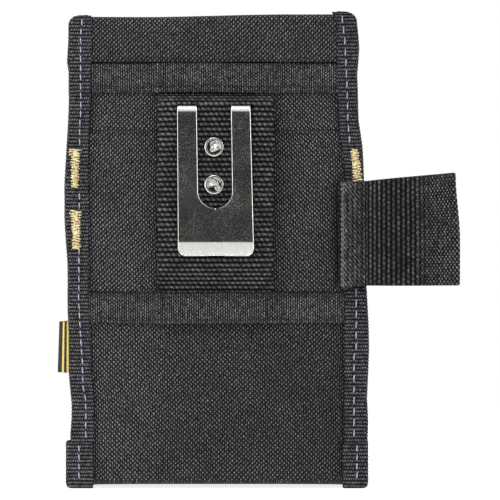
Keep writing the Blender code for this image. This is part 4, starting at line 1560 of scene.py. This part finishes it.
def make_bottom():
    """The bottom, rounded like the front pocket's plan, that sags a little and is tucked up into
    the seam along the back."""
    low, high = node_box("bottom_panel")
    corner = POCKET_CORNER + SPACING
    turn = corner * (1 - np.cos(np.linspace(0, math.pi / 2, 16)))
    middle = np.linspace(low[0] + corner, high[0] - corner, 70)[1:-1]
    rows = []
    for x in (*(low[0] + turn), *middle, *(high[0] - turn[::-1])):
        inside = max(low[0] + corner - x, x - high[0] + corner, 0)
        front = high[1] - corner + math.sqrt(max(corner**2 - inside**2, 0.01))
        share = np.linspace(0, 1, 30)
        sag = 0.25 * np.sin(math.pi * share) * (1 - (2 * x / (high[0] - low[0])) ** 4)
        tucked = (1.9 + 2.0 * smooth((abs(x) - 52) / 5)) * (1 - smooth(share * 2.2))
        z = (low[2] + high[2]) / 2 + sag + tucked
        rows.append(np.column_stack([np.full(30, x), between(low[1], front, share), z]))
    made = slab("bottom_cloth", np.stack(rows, 0), high[2] - low[2] - 0.3, "cloth")
    under = ["left_corner_tape", "right_corner_tape"]
    on_pouch(made, "bottom_panel", flat=(0.124, 0.030), held="stretched", rests_on=under)


def make_label():
    """A short tape folded in two, whose ends go into the left seam, a little curled."""
    low, high = node_box("label_tab")
    y = (low[1] + high[1]) / 2
    fold, seam = low[0] + 1.1, high[0] + 1.0
    line = [(seam, y - LABEL_BEND), (fold, y - LABEL_BEND)]
    line += arc((fold, y), LABEL_BEND, 270, 90, 8)[1:-1]
    line += [(fold, y + LABEL_BEND), (seam, y + LABEL_BEND)]
    path = resample(line, 44)
    grid = along_z(lambda z: path, np.linspace(low[2], high[2], 60))
    share = np.clip((high[0] - grid[..., 0]) / (high[0] - low[0]), 0, 1)
    grid[..., 1] += 0.5 * share**2 * np.sin((grid[..., 2] - low[2]) / 9.0)
    grid[..., 0] -= share * 0.9 * (high[2] - grid[..., 2]) / (high[2] - low[2])
    grid[..., 2] += share * 0.5 * np.sin(grid[..., 2] / 7.0)
    made = slab("label_tape", grid, LABEL_THICK, "label")
    flat = (0.0112, 0.0238)
    on_pouch(made, "label_tab", flat=flat, held="folded", rests_on=["left_edge_tape"])


make_bottom()
make_label()


# ---- studio -----------------------------------------------------------------------------

FLOOR_RADIUS, FLOOR_Z = 420.0, -0.15
SEEN_WIDTH = 228.9
SEEN_CENTRE = (14.65, 108.9)
# Lamps: place and size in metres, and power in watts.
LAMP_TARGET = (0, 0, 0.11)
LAMPS = {
    "key": ((-0.2, -0.5, 1.2), (0.8, 0.4), 7),
    "side_right": ((0.95, -0.45, 0.4), (0.6, 0.9), 4),
    "side_left": ((-0.95, -0.4, 0.3), (0.6, 0.9), 5),
    "behind": ((0.2, 1.0, 0.7), (0.9, 0.7), 6),
}


def make_floor():
    """A plain pale disc just under the pouch."""
    rim = arc((0, 0), FLOOR_RADIUS, 0, 360, 96)[:-1]
    points = [(0.0, 0.0, FLOOR_Z)] + [(x, y, FLOOR_Z) for x, y in rim]
    faces = [(0, 1 + k, 1 + (k + 1) % len(rim)) for k in range(len(rim))]
    floor = new_object("floor", points, faces)
    g = Graph("floor_white")
    g.shader["Base Color"].default_value = (0.3, 0.3, 0.3, 1)
    g.shader["Emission Color"].default_value = (1, 1, 1, 1)
    g.shader["Emission Strength"].default_value = 0.8
    g.shader["Roughness"].default_value = 0.8
    g.shader["Specular IOR Level"].default_value = 0.4
    floor.data.materials.append(g.material)


def make_world():
    """White where the camera looks past the object. For lighting it is a soft grey surround,
    darker in front, as the side of a studio where the camera stands."""
    world = bpy.data.worlds.new("studio")
    world.use_nodes = True
    tree = world.node_tree
    tree.nodes.clear()
    kinds = "OutputWorld LightPath Background Background TexCoord SeparateXYZ MapRange MixShader"
    output, path, seen, around, direction, split, dim, mix = (
        tree.nodes.new("ShaderNode" + kind) for kind in kinds.split()
    )
    seen.inputs["Color"].default_value = (1, 1, 1, 1)
    for key, value in zip(("From Min", "From Max", "To Min", "To Max"), (-0.985, -0.93, 0.02, 0.8)):
        dim.inputs[key].default_value = value
    for start, end in (
        (direction.outputs["Generated"], split.inputs[0]),
        (split.outputs["Y"], dim.inputs["Value"]),
        (dim.outputs[0], around.inputs["Color"]),
        (path.outputs["Is Camera Ray"], mix.inputs[0]),
        (around.outputs[0], mix.inputs[1]),
        (seen.outputs[0], mix.inputs[2]),
        (mix.outputs[0], output.inputs["Surface"]),
    ):
        tree.links.new(start, end)
    bpy.context.scene.world = world


def make_lamp(name, place, size, power):
    light = bpy.data.lights.new(name, "AREA")
    light.shape = "RECTANGLE"
    light.size, light.size_y = size
    light.energy = power
    lamp = bpy.data.objects.new(name, light)
    lamp.location = place
    aim = Vector(LAMP_TARGET) - Vector(place)
    lamp.rotation_euler = aim.to_track_quat("-Z", "Y").to_euler()
    bpy.context.scene.collection.objects.link(lamp)


def make_camera():
    """A long lens, level with the middle of the pouch, so that its back is seen square on."""
    camera = bpy.data.cameras.new("camera")
    camera.lens = 150
    camera.sensor_width = 36
    camera.clip_start, camera.clip_end = 0.01, 20
    eye = bpy.data.objects.new("camera", camera)
    distance = SEEN_WIDTH * camera.lens / camera.sensor_width
    eye.location = (SEEN_CENTRE[0] * MM, (BACK_FACE - distance) * MM, SEEN_CENTRE[1] * MM)
    eye.rotation_euler = (math.pi / 2, 0, 0)
    bpy.context.scene.collection.objects.link(eye)
    bpy.context.scene.camera = eye


make_floor()
make_world()
for name, (place, size, power) in LAMPS.items():
    make_lamp(name, place, size, power)
make_camera()
bpy.context.scene.view_settings.view_transform = "Standard"
